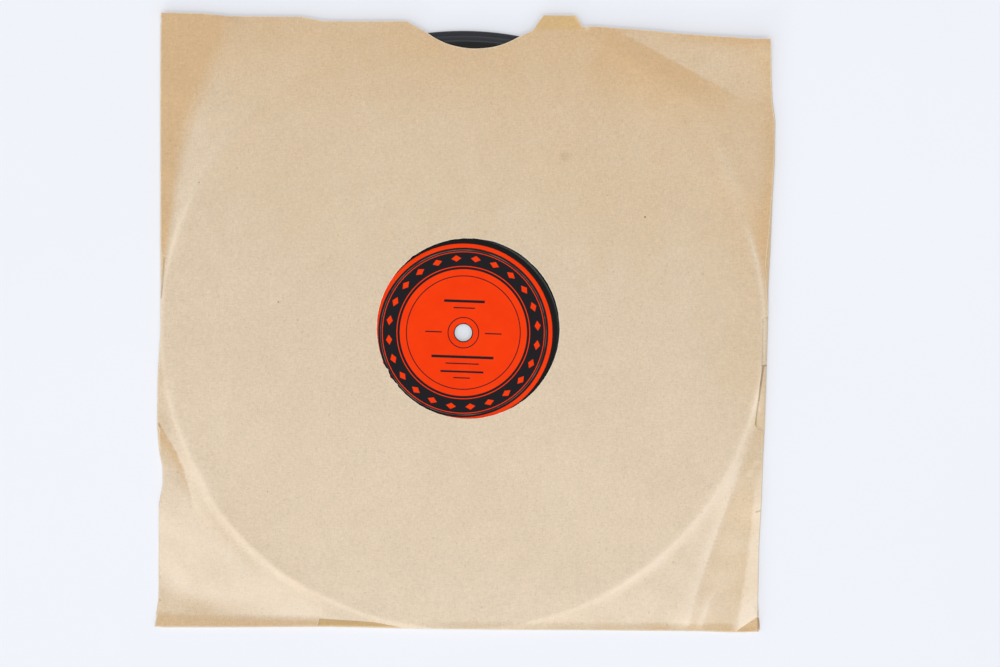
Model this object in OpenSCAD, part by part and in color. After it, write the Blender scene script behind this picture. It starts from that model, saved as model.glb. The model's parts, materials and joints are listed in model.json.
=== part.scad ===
// Ten-inch shellac record in its glued kraft paper sleeve.
// Origin: middle of the spindle hole, halfway through the disc. +Z points out of side A and +Y
// points out of the sleeve's mouth, the way the disc slides when it is taken out.

/* [Disc] */
// Outside diameter of the disc
disc_d = 250.8; // [200:0.1:310]
// Thickness of the disc
disc_t = 2.2; // [1.8:0.1:3]
// Rounding of the two corners of the rim
rim_r = 0.9; // [0.2:0.1:0.9]
// Diameter of the spindle hole
hole_d = 7.26; // [6:0.01:9]
// Width of the plain land and lead-in outside the recorded band
lead_in_w = 4.7; // [3:0.1:10]
// Depth of the recorded band below the land
band_depth = 0.04; // [0.02:0.01:0.1]
// Width of the run-out between the recorded band and the stopping groove
run_out_w = 12.3; // [5:0.1:20]
// Distance from the label's edge to the middle of the stopping groove
stop_groove_gap = 2.4; // [1:0.1:4]
// Width of the stopping groove at the surface
stop_groove_w = 0.5; // [0.2:0.05:0.8]
// Depth of the stopping groove
stop_groove_depth = 0.1; // [0.04:0.01:0.2]

/* [Label] */
// Diameter of the paper label
label_d = 74.6; // [55:0.1:95]
// Thickness of the paper label, pressed in flush with the land
label_t = 0.12; // [0.08:0.01:0.3]
// Width of the bare shellac collar between the spindle hole and the label
collar_w = 0.15; // [0.1:0.05:1]
// Distance from the label's edge to the middle of the pressed ring
press_ring_inset = 3; // [2:0.1:6]
// Width of the pressed ring
press_ring_w = 0.8; // [0.3:0.1:1.5]
// Depth of the pressed ring
press_ring_depth = 0.05; // [0.02:0.01:0.07]

/* [Sleeve] */
// Thickness of the kraft paper
paper_t = 0.2; // [0.1:0.01:0.4]
// Clearance between each face of the disc and the paper
face_gap = 0.25; // [0.15:0.05:0.6]
// Clearance between the rim of the disc and the inside of each side wall
side_gap = 1.9; // [0.6:0.1:6]
// Clearance between the rim of the disc and the inside of the bottom wall
bottom_gap = 0.8; // [0.6:0.1:4]
// Height of the sleeve's top left corner above the rim of the disc
mouth_rise = 5.6; // [3:0.1:12]
// Width of the side flaps, folded in under the front panel
side_flap_w = 14; // [10:0.5:30]
// Width of the bottom flap, folded in under the front panel
bottom_flap_w = 16; // [10:0.5:30]
// Size of the cut that keeps the flaps apart at the bottom corners
corner_cut = 2; // [1:0.5:6]
// Distance from the outside of a wall to the edge of the front panel
front_inset = 0.5; // [0:0.1:3]
// Width of the lines of glue
glue_w = 7; // [3:0.5:9]
// Thickness of the lines of glue
glue_t = 0.05; // [0.02:0.01:0.1]
// Length of flap left without glue at each end
glue_end = 18; // [15:1:40]

/* [Label windows] */
// Diameter of the label window in each panel
window_d = 77; // [60:0.5:100]
// Window's middle to the right of the spindle hole
window_x = 2.1; // [-6:0.1:6]
// Window's middle above the spindle hole
window_y = 2; // [-6:0.1:6]

/* [Thumb notch] */
// Radius of the thumb notch
notch_r = 35; // [25:0.5:45]
// Depth of the thumb notch below the top left corner
notch_depth = 12.9; // [10:0.1:20]
// Middle of the thumb notch to the right of the spindle hole
notch_x = 3.2; // [-10:0.1:10]

/* [Worn mouth] */
// Wear of the mouth's edge just left of the notch
left_wear = 2; // [0:0.1:5]
// Wear of the mouth's edge just right of the notch
right_wear = 3; // [0:0.1:6]
// Wear of the mouth's edge at the top right corner
corner_wear = 7; // [0:0.1:9]
// Width at its top of the scrap of unworn front panel that stands beside the notch
scrap_w = 13; // [6:0.5:20]
// Height of the scrap above the worn edge of the front panel
scrap_h = 4.4; // [2:0.1:6]
// Slant of the scrap's torn side
scrap_slant = 3.3; // [0:0.1:5]

/* [Hidden] */
$fn = 96;
// Overlap that carries a cut clear past the surface it starts from
past = 1;
disc_r = disc_d / 2;
hole_r = hole_d / 2;
label_r = label_d / 2;
land_z = disc_t / 2;
stop_groove_r = label_r + stop_groove_gap;
band_inner_r = stop_groove_r + run_out_w;
band_outer_r = disc_r - lead_in_w;
press_ring_r = label_r - press_ring_inset;

// Heights of the stacked papers
back_z = -land_z - face_gap - paper_t;
flap_z = land_z + face_gap;
glue_z = flap_z + paper_t;
front_z = glue_z + glue_t;

// Folds: narrow walls of the back sheet that stand between its panel and its flaps
fold_x = disc_r + side_gap;
fold_y = -disc_r - bottom_gap;
half_w = fold_x + paper_t;
bottom_y = fold_y - paper_t;
fold_h = glue_z - back_z;

// Where the flaps start: past the cuts at the bottom corners
flap_x = fold_x - corner_cut;
flap_y = fold_y + corner_cut;

// Worn line of the mouth, from the left corner to the right one
mouth_y = disc_r + mouth_rise;
notch_y = mouth_y - notch_depth + notch_r;
left_shoulder = [notch_x - notch_r, mouth_y - left_wear];
right_shoulder = [notch_x + notch_r, mouth_y - right_wear];
right_top_y = mouth_y - corner_wear;
left_length = mouth_y - flap_y;
right_length = right_top_y - flap_y;
scrap_top_y = right_shoulder.y + scrap_h;
scrap_x = notch_x + sqrt(pow(notch_r, 2) - pow(notch_y - scrap_top_y, 2));

kraft = "#d9c09a";
kraft_inside = "#cfae78";
glue_colour = "#c8a86a";

// Copies of a flat shape above and below the disc's mid-plane
module both_faces() {
    children();
    mirror([0, 1]) children();
}

// Ring-shaped cut in the profile of the disc, from radius inner to radius outer
module face_cut(inner, outer, depth) {
    translate([inner, land_z - depth]) square([outer - inner, depth + past]);
}

// V-shaped groove in the profile of the disc
module v_groove(radius, width, depth) {
    half = width / 2;
    translate([radius, land_z]) polygon([[-half, 0], [0, -depth], [half, 0], [half, past], [-half, past]]);
}

// Half section of the disc: radius along x, height along y
module disc_profile() {
    difference() {
        union() {
            translate([hole_r, -land_z]) square([disc_r - rim_r - hole_r, disc_t]);
            translate([hole_r, rim_r - land_z]) square([disc_r - hole_r, disc_t - 2 * rim_r]);
            translate([disc_r - rim_r, land_z - rim_r]) circle(rim_r);
            translate([disc_r - rim_r, rim_r - land_z]) circle(rim_r);
        }
        both_faces() {
            face_cut(hole_r + collar_w, label_r, label_t);
            face_cut(band_inner_r, band_outer_r, band_depth);
            v_groove(stop_groove_r, stop_groove_w, stop_groove_depth);
        }
    }
}

module shellac_disc() {
    color("#17171a") rotate_extrude() disc_profile();
}

// Half section of a label: a strip of paper with the pressed ring in its face
module label_profile() {
    difference() {
        translate([hole_r + collar_w, land_z - label_t]) square([label_r - hole_r - collar_w, label_t]);
        v_groove(press_ring_r, press_ring_w, press_ring_depth);
    }
}

module side_a_label() {
    color("#f23c08") rotate_extrude() label_profile();
}

module side_b_label() {
    color("#f23c08") mirror([0, 0, 1]) rotate_extrude() label_profile();
}

// Outline of a panel up to the worn line of the mouth, half_width to each side of the spindle hole
module panel_outline(half_width, low_y) {
    polygon([
        [-half_width, low_y], [half_width, low_y], [half_width, right_top_y],
        right_shoulder, left_shoulder, [-half_width, mouth_y]
    ]);
}

// Scrap of the front panel that kept its height, leaning on its torn right side
module scrap_outline() {
    polygon([
        [notch_x, right_shoulder.y - past],
        [scrap_x + scrap_w + scrap_slant, right_shoulder.y - past],
        [scrap_x + scrap_w, scrap_top_y],
        [notch_x, scrap_top_y]
    ]);
}

// Holes through a panel: the label window and the thumb notch
module panel_holes() {
    translate([window_x, window_y]) circle(d = window_d);
    translate([notch_x, notch_y]) circle(notch_r);
}

module back_panel() {
    color(kraft) translate([0, 0, back_z]) linear_extrude(paper_t) difference() {
        panel_outline(fold_x, fold_y);
        panel_holes();
    }
}

module front_panel() {
    color(kraft) translate([0, 0, front_z]) linear_extrude(paper_t) difference() {
        union() {
            panel_outline(half_w - front_inset, bottom_y + front_inset);
            scrap_outline();
        }
        panel_holes();
    }
}

// Wall of paper that runs up from the origin along +Y, on the -X side of its crease
module fold(length) {
    translate([-paper_t, 0, back_z]) cube([paper_t, length, fold_h]);
}

module left_fold() {
    color(kraft) translate([-fold_x, flap_y, 0]) fold(left_length);
}

module right_fold() {
    color(kraft) mirror([1, 0, 0]) translate([-fold_x, flap_y, 0]) fold(right_length);
}

module bottom_fold() {
    color(kraft) translate([flap_x, fold_y, 0]) rotate([0, 0, 90]) fold(2 * flap_x);
}

// Flap that runs up a side fold from the origin, with both ends cut on the slant
module side_flap(length) {
    linear_extrude(paper_t) polygon([
        [0, 0], [side_flap_w, side_flap_w], [side_flap_w, length - side_flap_w], [0, length]
    ]);
}

module left_flap() {
    color(kraft_inside) translate([-fold_x, flap_y, flap_z]) side_flap(left_length);
}

module right_flap() {
    color(kraft_inside) mirror([1, 0, 0]) translate([-fold_x, flap_y, flap_z]) side_flap(right_length);
}

module bottom_flap() {
    top_x = flap_x - bottom_flap_w;
    color(kraft_inside) translate([0, fold_y, flap_z]) linear_extrude(paper_t) polygon([
        [-flap_x, 0], [flap_x, 0], [top_x, bottom_flap_w], [-top_x, bottom_flap_w]
    ]);
}

// Line of glue that runs from the origin along +Y and leaves both ends of a flap of this length bare
module glue_line(flap_length) {
    translate([-glue_w / 2, glue_end, 0]) cube([glue_w, flap_length - 2 * glue_end, glue_t]);
}

module left_glue_line() {
    color(glue_colour) translate([side_flap_w / 2 - fold_x, flap_y, glue_z]) glue_line(left_length);
}

module right_glue_line() {
    color(glue_colour) translate([fold_x - side_flap_w / 2, flap_y, glue_z]) glue_line(right_length);
}

module bottom_glue_line() {
    color(glue_colour) translate([flap_x, fold_y + bottom_flap_w / 2, glue_z]) rotate([0, 0, 90])
        glue_line(2 * flap_x);
}

shellac_disc();
side_a_label();
side_b_label();
back_panel();
left_fold();
right_fold();
bottom_fold();
left_flap();
right_flap();
bottom_flap();
left_glue_line();
right_glue_line();
bottom_glue_line();
front_panel();
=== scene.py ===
"""Looks of a ten-inch shellac record in its worn kraft paper sleeve.

Lengths are in millimetres until they go to meshes."""
import json
import math

import bpy
import numpy as np
from mathutils import Matrix, Vector
from mathutils.geometry import delaunay_2d_cdt
from mathutils.kdtree import KDTree


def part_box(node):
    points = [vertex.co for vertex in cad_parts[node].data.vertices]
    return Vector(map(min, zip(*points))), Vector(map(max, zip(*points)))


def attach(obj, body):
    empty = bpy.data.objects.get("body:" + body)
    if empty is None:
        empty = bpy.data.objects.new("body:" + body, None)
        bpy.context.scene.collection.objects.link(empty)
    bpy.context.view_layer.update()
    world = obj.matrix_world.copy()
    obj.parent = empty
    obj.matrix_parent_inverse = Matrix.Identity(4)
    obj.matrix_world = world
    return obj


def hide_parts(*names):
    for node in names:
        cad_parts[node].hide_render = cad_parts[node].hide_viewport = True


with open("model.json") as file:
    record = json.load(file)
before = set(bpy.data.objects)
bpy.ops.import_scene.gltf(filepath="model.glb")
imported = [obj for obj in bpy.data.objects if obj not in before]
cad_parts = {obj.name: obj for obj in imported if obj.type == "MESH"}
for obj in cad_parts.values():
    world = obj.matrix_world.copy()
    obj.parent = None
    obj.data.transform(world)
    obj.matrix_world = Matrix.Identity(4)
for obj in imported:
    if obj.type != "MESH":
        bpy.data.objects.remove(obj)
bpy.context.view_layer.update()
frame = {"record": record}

MM = 0.001


def node_box(node):
    """Lowest and highest corner of a node of the frame."""
    low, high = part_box(node)
    return np.array(low) / MM, np.array(high) / MM


# Sizes taken from the frame
_, disc_high = node_box("shellac_disc")
label_low, label_high = node_box("side_a_label")
front_low, front_high = node_box("front_panel")
back_low, back_high = node_box("back_panel")
glue_low, glue_high = node_box("bottom_glue_line")
flap_low, flap_high = node_box("right_flap")
bottom_flap_low, bottom_flap_high = node_box("bottom_flap")
mounts = {mount["name"]: mount for mount in frame["record"]["mounts"]}
DISC_R = disc_high[0]
DISC_HALF = disc_high[2]
LABEL_R = label_high[0]
LABEL_T = label_high[2] - label_low[2]
HOLE_R = mounts["spindle_hole"]["dims"]["r_mm"]
PAPER_T = front_high[2] - front_low[2]
GLUE_T = glue_high[2] - glue_low[2]
FLAP_W = flap_high[0] - flap_low[0]
BOTTOM_FLAP_W = bottom_flap_high[1] - bottom_flap_low[1]
FLOOR_Z = back_low[2]
BACK_MID = (back_low[2] + back_high[2]) / 2

# Camera of the photograph, whose frame is 1000 by 667 pixels
IMAGE_W = 1000
SENSOR_W = 36
FOCAL_PIXELS = 2388
CAMERA_DISTANCE = 1000
CAMERA_TARGET = (15.35, -0.23, 0)
CAMERA_TILT = 4.70
CAMERA_SIDE = -1.05
CAMERA_ROLL = 0.81
CAMERA_CLIP = (0.02, 50)

# Outline of the folded sleeve, as the photograph shows it
LEFT_EDGE = [(-126.8, 131), (-126.9, 95), (-126.6, 33), (-126.5, 0), (-127.7, -21), (-127.9, -41),
             (-127.6, -44), (-127, -52), (-125.6, -59), (-125.5, -66), (-127.1, -74), (-127.2, -97),
             (-127.2, -114), (-127.9, -119), (-129.1, -126.7)]
RIGHT_EDGE = [(127.2, -125.7), (126.3, -112), (126.3, -90), (126.8, -73), (127.1, -53), (127.5, -37),
              (127.8, 7), (127.6, 20), (128.1, 36), (128.4, 57), (129, 74), (128.9, 90), (127.5, 98),
              (126.9, 107), (126.2, 124)]
BOTTOM_EDGE = [(-129.1, -126.7), (-88, -126.2), (-55, -125.6), (-25, -125.9), (17, -126), (59, -125.9),
               (102, -125.9), (114.6, -126.2), (121, -126.1), (127.2, -125.7)]
NOTCH_CENTRE = (3.2, 153.1)
NOTCH_R = 35
NOTCH_START = -125
NOTCH_END = -60.5
BACK_NOTCH_SHIFT = -0.6
WINDOW_CENTRE = (2.05, 1.7)
WINDOW_R = 38.2
WINDOW_SQUASH = 0.99
# Angle, depth and half width of the nicks in the window's edge
WINDOW_NICKS = [(203, 0.45, 1.0), (208, -0.5, 1.2), (213, 0.5, 0.9), (219, -0.35, 1.0), (128, 0.35, 1.6)]

# Front sheet: the mouth with its thumb notch and the scrap beside it, and the torn right and bottom edges
FRONT_MOUTH_RIGHT = [(125.8, 124), (119.7, 124), (90.7, 125.4), (74, 126.7), (55, 127.9), (48.3, 128),
                     (47.8, 127.4), (46.9, 129.6), (44.8, 132.4), (31.4, 132.3), (27.2, 126.1)]
SCRAP_LEFT = 26.5
SCRAP_RIGHT = 48.5
SCRAP_FOOT = 126.4
SCRAP_SOFT = 0.8
FRONT_MOUTH_LEFT = [(-24.9, 129), (-58.8, 128.5), (-69, 130.2), (-98, 130), (-110, 131), (-126.4, 131)]
FRONT_LEFT = [(-126.5, 95), (-126.2, 33), (-125.8, 31), (-124.3, 30.1), (-124.8, 22.6), (-125.3, 16.3),
              (-126.2, 10.9), (-126.1, 0), (-127.2, -21), (-127.4, -40.6), (-126.8, -42.4),
              (-126.5, -52), (-125.2, -59), (-125.1, -66), (-126.6, -74), (-126.7, -97), (-126.7, -114),
              (-127.4, -119), (-128.7, -126.2)]
FRONT_BOTTOM = [(-88, -125.7), (-60.2, -125.1), (-59.2, -121.8), (-48, -122.2), (-36, -123), (-28, -124.5),
                (-23, -125.5), (17, -125.6), (59, -125.5), (102, -125.5), (114.6, -125.8), (117.4, -125.5)]
FRONT_RIGHT = [(125.9, -119.2), (125.9, -90), (126.4, -73), (126.7, -53), (126.3, -40.2), (124.4, -39.4),
               (122.9, -37.3), (124.2, -26), (125.2, -14.4), (125.1, -12.2), (124.9, 7.9), (127.3, 8.7),
               (127.2, 13.3), (126.2, 23.6), (126.9, 24.6), (126, 30), (126.9, 42), (127.7, 57),
               (128.5, 74), (128.4, 90), (127, 98), (126.4, 107)]

# Back sheet: its mouth, the free corners between its flaps, and where its folds end
BACK_MOUTH_RIGHT = [(123.9, 123.2), (90, 124.6), (74, 125.9), (56, 127), (27, 125.4)]
BACK_MOUTH_LEFT = [(-24.5, 128.2), (-58.8, 127.8), (-69, 129.4), (-98, 129.2), (-110, 130.2),
                   (-124.6, 130.2)]
BACK_CORNER_RIGHT = [(127.5, -125.6), (127.4, -122.6), (127.1, -120)]
BACK_CORNER_LEFT = [(-128.2, -122.6), (-128.7, -125.5)]
LEFT, RIGHT, BOTTOM = -1, 1, 0
FOLD_EDGES = {LEFT: LEFT_EDGE[::-1], RIGHT: RIGHT_EDGE, BOTTOM: BOTTOM_EDGE}
FOLD_ENDS = {LEFT: (-122, 130.2), RIGHT: (-119, 123.2), BOTTOM: (-127, 126.7)}
FOLD_ROW_SPANS = {LEFT: (-120.5, 127), RIGHT: (-117.5, 121), BOTTOM: (-125.5, 125.2)}
BOTTOM_FLAP_TAB = (0.8, 6.5)
FLAP_TOP_SLANT = 3
FLAP_POINTS = 24
FOLD_INSIDE = 2
FOLD_END_ROOM = 0.2
FOLD_SLIT = 0.3
FOLD_OVERLAP = 0.1

# Meshes
FRONT_STEP = 1.7
BACK_STEP = 2.4
EDGE_STEP = 1.1
WINDOW_STEP = 0.5
EDGE_BAND = 0.45
ROW_ROOM = 0.3
FOLD_ROWS = np.linspace(-0.15, 1.15, 9)
FOLD_ROW_STEP = 1.4 * EDGE_STEP
CREASE_ROWS = (-0.9, -0.3, 0.3, 0.9)
RIM_ROWS = (-1.6, -0.9, -0.3, 0.3, 0.9, 1.6)
RIM_ROWS_FROM = 135
RIM_ROWS_TO = 400
EDGE_WANDER = 0.05
WANDER_PASSES = 3
FRONT_SEED = 5
FRONT_WINDOW_SEED = 6
BACK_SEED = 15
BACK_WINDOW_SEED = 16
DISC_SEGMENTS = 288
MERGE = 1e-5
PAPER_SHARP = 60
TURNED_SHARP = 25

# Relief of the front sheet
LIE_GAP = 0.03
LIE = DISC_HALF + LIE_GAP + PAPER_T / 2
FLAP_STEP = PAPER_T + GLUE_T
GRID_STEP = 0.75
GRID_HALF = 138
RIM_ROOM = 0.3
RIM_FALL = 0.45
RIM_FALL_LENGTH = 1.5
CORNER_FALL = 1.6
CORNER_FALL_LENGTH = 16
CORNER_EASE = 8
RIM_RIDGE = 0.12
RIM_RIDGE_R = DISC_R + 0.4
RIM_RIDGE_LENGTH = 1.1
UPPER_RIDGE_SHARE = 0.4
RIM_SLACK = 1.5
FOLD_RISE = 0.6
FOLD_RISE_TOP = 12
FOLD_RISE_END = 34
CORNER_SLOPE = 0.025
CORNER_SLOPE_END = 24
WINDOW_LIP = 0.1
WINDOW_LIP_LENGTH = 2
SWEPT_R = DISC_R + 0.4
FLAP_EASE = 22
LEAST_HEIGHT = BACK_MID + 2 * FLAP_STEP + LIE_GAP

# Tone of the paper
PALEST = 1.6
# Painted shade: the front sheet is drawn darker and browner towards the top, and in its upper half towards
# the right
PAINTED_SHADE_UP = -0.0038
PAINTED_SHADE_FROM = 13
PAINTED_SHADE_RIGHT = -0.0012
STRIP_TONE = -0.8
# Painted sheen and painted highlights: the lower left corner, the lit side of the long ray and the right
# margin are drawn paler
LOWER_LEFT_SHEEN = 0.55
RAY_HIGHLIGHT = 0.22
RAY_HIGHLIGHT_SPAN = (-18, -5)
BEFORE_RAY_TONE = -0.05
BEHIND_RAY_TONE = 0.2
MARGIN_HIGHLIGHT = 0.6
CORNER_FRESH = 0.36
LEFT_FRESH_SHARE = 0.6
OPEN_CORNER_TONE = -0.75
OPEN_CORNER_RIGHT = (112, 115)
OPEN_CORNER_DOWN = (116, 117.5)
# Painted light along the crests of the back sheet's folds, drawn pale against the shade at the sleeve's
# edges
FOLD_CREST_LIGHT = 1.0
COVERED = {LEFT: (1.4, 2.4), RIGHT: (5.0, 6.0), BOTTOM: (-2.2, -1.0)}
BOTTOM_COVERED_END = (-116, -112)
BACK_MARGIN = 0.5
BACK_MARGIN_SPAN = (94, 127)
BACK_RING = 0.55
BACK_RING_W = 2.6

grid_line = np.arange(-GRID_HALF, GRID_HALF + GRID_STEP, GRID_STEP)
GX, GY = np.meshgrid(grid_line, grid_line)
GR = np.hypot(GX, GY)
AXES = {"right": GX, "left": -GX, "up": GY, "down": -GY, "out": GR, "aside": np.abs(GX)}


def smooth(t):
    """0 below 0, 1 above 1, with an even rise between."""
    t = np.clip(t, 0, 1)
    return t * t * (3 - 2 * t)


def ramp(value, start, end):
    """Even rise from 0 at start to 1 at end."""
    return smooth((value - start) / (end - start))


def zone(**limits):
    """A soft region of the grid: a rise from 0 to 1 between two places along each direction named."""
    return math.prod(ramp(AXES[name], *places) for name, places in limits.items())


def arc(centre, radius, start, end, step=8):
    """Points of a circular arc, with its angles in degrees."""
    count = max(2, math.ceil(math.radians(abs(end - start)) * radius / step))
    angles = np.radians(np.linspace(start, end, count + 1))
    return np.c_[centre[0] + radius * np.cos(angles), centre[1] + radius * np.sin(angles)]


def rim(start, end, off=0.7, step=3):
    """A stretch of the line that the disc's rim draws in the paper, some way off the rim."""
    return arc((0, 0), DISC_R + off, start, end, step)


def from_line(points):
    """Distance from the grid to a line, the side of it (1 left, -1 right) and the share of its length."""
    points = np.asarray(points, float)
    steps = np.diff(points, axis=0)
    lengths = np.hypot(*steps.T)
    runs = np.concatenate([[0], np.cumsum(lengths)])
    nearest = np.full(GX.shape, np.inf)
    side = np.ones(GX.shape)
    share = np.zeros(GX.shape)
    for start, step, length, run in zip(points, steps, lengths, runs):
        dx = GX - start[0]
        dy = GY - start[1]
        t = np.clip((dx * step[0] + dy * step[1]) / length**2, 0, 1)
        distance = np.hypot(dx - t * step[0], dy - t * step[1])
        closer = distance < nearest
        nearest = np.where(closer, distance, nearest)
        side = np.where(closer, np.sign(step[0] * dy - step[1] * dx), side)
        share = np.where(closer, (run + t * length) / runs[-1], share)
    return nearest, side, share


def crease(points, height, left, right, ends, sharp=False):
    """A fold along a line: its height, its reach on each side, and the shares of its length that taper."""
    distance, side, share = from_line(points)
    reach = distance / np.where(side > 0, left, right)
    profile = np.exp(-reach) if sharp else np.exp(-reach**2)
    return height * profile * smooth(share / ends[0]) * smooth((1 - share) / ends[1])


def edge_tone(points, left, right, reach_left, reach_right, ends):
    """A tone that changes at a line and fades away from it on both sides."""
    distance, side, share = from_line(points)
    reach = np.where(side > 0, reach_left, reach_right)
    tone = np.where(side > 0, left, right) * np.exp(-distance / reach)
    return tone * smooth(share / ends[0]) * smooth((1 - share) / ends[1])


def across(points, start, end, way=1):
    """A rise from 0 to 1 across a line, to its left or, where way is -1, to its right."""
    distance, side, _ = from_line(points)
    return ramp(way * distance * side, start, end)


def hump(centre, half_sizes, height, turn=0):
    """A soft round rise, longer one way than the other, turned by some degrees."""
    a = math.radians(turn)
    dx = GX - centre[0]
    dy = GY - centre[1]
    along = (dx * math.cos(a) + dy * math.sin(a)) / half_sizes[0]
    sideways = (dy * math.cos(a) - dx * math.sin(a)) / half_sizes[1]
    return height * np.exp(-along**2 - sideways**2)


def waves(amount, seed, count, shortest, longest):
    """A gentle random unevenness between about -amount and amount, made of plane waves."""
    rng = np.random.default_rng(seed)
    total = np.zeros(GX.shape)
    for _ in range(count):
        turn, phase = rng.uniform(0, 2 * math.pi, 2)
        length = rng.uniform(shortest, longest)
        total += np.sin(2 * math.pi * (GX * math.cos(turn) + GY * math.sin(turn)) / length + phase)
    return amount * total / math.sqrt(count)


def blurred(field):
    """The grid averaged once with its neighbours."""
    for axis in (0, 1):
        padded = np.pad(field, [(1, 1) if a == axis else (0, 0) for a in (0, 1)], mode="edge")
        before, after = np.split(padded, [2], axis)[1], np.split(padded, [-2], axis)[0]
        field = (before + after + 2 * field) / 4
    return field


def sampled(field, x, y):
    """The grid's value at points, linear between its cells."""
    last = len(grid_line) - 2
    column = np.clip((np.asarray(x) + GRID_HALF) / GRID_STEP, 0, last)
    row = np.clip((np.asarray(y) + GRID_HALF) / GRID_STEP, 0, last)
    c = column.astype(int)
    r = row.astype(int)
    s = column - c
    t = row - r
    near = field[r, c] * (1 - s) + field[r, c + 1] * s
    far = field[r + 1, c] * (1 - s) + field[r + 1, c + 1] * s
    return near * (1 - t) + far * t


# Lines that the worn paper shows
UPPER_LEFT_STREAK = [(-125.3, 14), (-122.5, 36), (-119, 54), (-112.9, 79), (-106.9, 98), (-101, 113),
                     (-96.5, 131)]
UPPER_LEFT_BROWN = [(-126.2, 18), (-122.9, 39), (-120, 60), (-116, 83), (-111.3, 101.5), (-106.3, 116),
                    (-102, 131)]
LOWER_RIGHT_RAY = [(119.5, -46), (115.6, -60.7), (110, -77.8), (104.5, -94.9), (99.3, -112.1), (96.4, -125)]
LOWER_RIGHT_THIN_RAY = [(111, -63), (105, -79), (99, -96), (93, -112)]
LOWER_RIGHT_SHORT_RAY = [(110.6, -104.7), (105.7, -112), (102.9, -121.5), (101.8, -125.5)]
LOWER_RIGHT_TEAR = [(120.8, -59.4), (123.8, -53.4), (126, -52.6)]
LOWER_RIGHT_VALLEY = [(121, -66), (117, -92), (111, -125)]
TURNED_CORNER = [(112, -128), (127, -116)]
TOP_RIGHT_VALLEY = [(57.4, 128.4), (74.9, 119.8), (90.4, 111.7), (104.4, 104.2), (115.7, 98.5), (128, 92.4)]
TOP_RIGHT_STREAK = [(98, 92), (104, 80), (112, 63), (119, 45), (124.5, 28)]
TOP_RIGHT_TIP = [(120.7, 125), (127, 116)]
RIGHT_MARGIN = [(125.5, -40), (124.3, -56.4), (122.1, -89.2), (117.8, -122.6), (117.4, -128)]
BOTTOM_SHADE = [(-128, -103.6), (-124.1, -108), (-119.9, -109.7), (-101, -112.5), (-70, -116)]
BOTTOM_STRIP = [(-129, -119.4), (-122, -120.4), (-109.4, -120.8), (-88.4, -121.4), (-58.9, -121.8)]
TORN_EDGE = [(125.6, 9), (125.1, -12.2), (124.2, -26), (122.9, -37.3)]
GAP_CENTRE = (125, -28)
BOWED_EDGE = [(-60, -122.5), (-48, -122.5), (-36, -123.2), (-24, -125.5)]
LOWER_LEFT_FOLD = arc((0, 0), 131.6, 209, 232)
LOWER_LEFT_STREAK = [(-124, -84), (-117, -99), (-106, -114)]
# A line by the lower left edge, with painted shade between it and the edge
LOWER_LEFT_SHADE_EDGE = [(-126.9, -39.7), (-123, -46.6), (-119.7, -52), (-116.7, -59.2), (-115, -65.5),
                     (-110.5, -80)]
LOWER_LEFT_KINK = [(-129, -111), (-123, -116)]
SCRAP_EDGE = [(39, 140), (50, 120)]

# Soft regions of the sheet, and how they rise along each direction
LOWER_LEFT = {"out": (DISC_R + 2, 134), "left": (30, 60), "down": (40, 76)}
LOWER_RIGHT = {"out": (DISC_R + 0.6, 130), "right": (20, 50), "down": (46, 60)}
TOP_RIGHT = {"right": (60, 82), "up": (84, 104)}
SLACK_ZONE = {"left": (50, 84), "down": (62, 78)}
UPPER_HALF = {"up": (0, 90)}
LOWER_HALF = {"down": (-4, 42)}
MARGIN_ZONE = {"down": (52, 70)}
STRIP_ZONE = {"left": (56, 60), "down": (100, 110)}
RIGHT_FRESH_ZONE = {"out": (DISC_R + 1, DISC_R + 4), "down": (44, 56)}
LEFT_FRESH_ZONE = {"left": (72, 100), "down": (100, 106), "up": (-121, -118.5)}
# Lines with soft sides: line, where the rise starts and ends, way
MARGIN_SIDE = (RIGHT_MARGIN, -1.6, 1.6)
STRIP_SIDE = (BOTTOM_STRIP, -1.6, 1.6, -1)
RIGHT_FRESH_SIDE = (LOWER_RIGHT_RAY, 0, 2)
LEFT_FRESH_SIDE = (BOTTOM_SHADE, -1, 5, -1)

# Folds of the front sheet: line, height, reach to its left and right, tapered shares, sharp or not
RELIEF_CREASES = [
    (LOWER_LEFT_FOLD, -0.12, 2, 4, (0.3, 0.3), True), (BOTTOM_EDGE[:4], 0.25, 4, 4, (0.02, 0.2), False),
    (LOWER_LEFT_KINK, 0.35, 1.6, 1.6, (0.1, 0.5), True), (LOWER_RIGHT_RAY, 0.7, 2.4, 6, (0.25, 0.05), True),
    (LOWER_RIGHT_SHORT_RAY, 0.3, 2, 3, (0.6, 0.1), True),
    (LOWER_RIGHT_VALLEY, -0.2, 6, 5, (0.3, 0.05), False),
    (RIGHT_EDGE[:5], 0.8, 5, 5, (0.02, 0.3), False), (TURNED_CORNER, 0.5, 5, 5, (0.05, 0.05), True),
    (UPPER_LEFT_STREAK, 0.5, 7, 8, (0.25, 0.02), False), (TOP_RIGHT_STREAK, 0.14, 4, 3, (0.3, 0.1), False)]
LIFTED_EDGES = [(TORN_EDGE, 0.45, 3, 4, (0.45, 0.5), True), (BOWED_EDGE, 0.6, 4, 4, (0.05, 0.6), True)]
LOWER_LEFT_HUMP = ((-124, -76), (7, 10), 0.5, 20)
# Unevenness: amount, seed, number of waves, shortest and longest
CORNER_WAVES = [(0.3, 3, 14, 26, 70), (0.1, 4, 16, 12, 26)]
PAPER_WAVES = (0.035, 8, 16, 14, 40)
FRONT_WAVES = [(0.05, 31, 20, 34, 90), (0.04, 32, 26, 9, 24)]
BACK_WAVES = [(0.14, 41, 20, 30, 90), (0.05, 42, 26, 9, 24)]
LOWER_LEFT_CLOUDS = (0.2, 21, 14, 14, 44)
BEFORE_RAY_CLOUDS = (0.18, 23, 14, 14, 40)
BEHIND_RAY_CLOUDS = (0.15, 25, 14, 12, 30)
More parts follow.
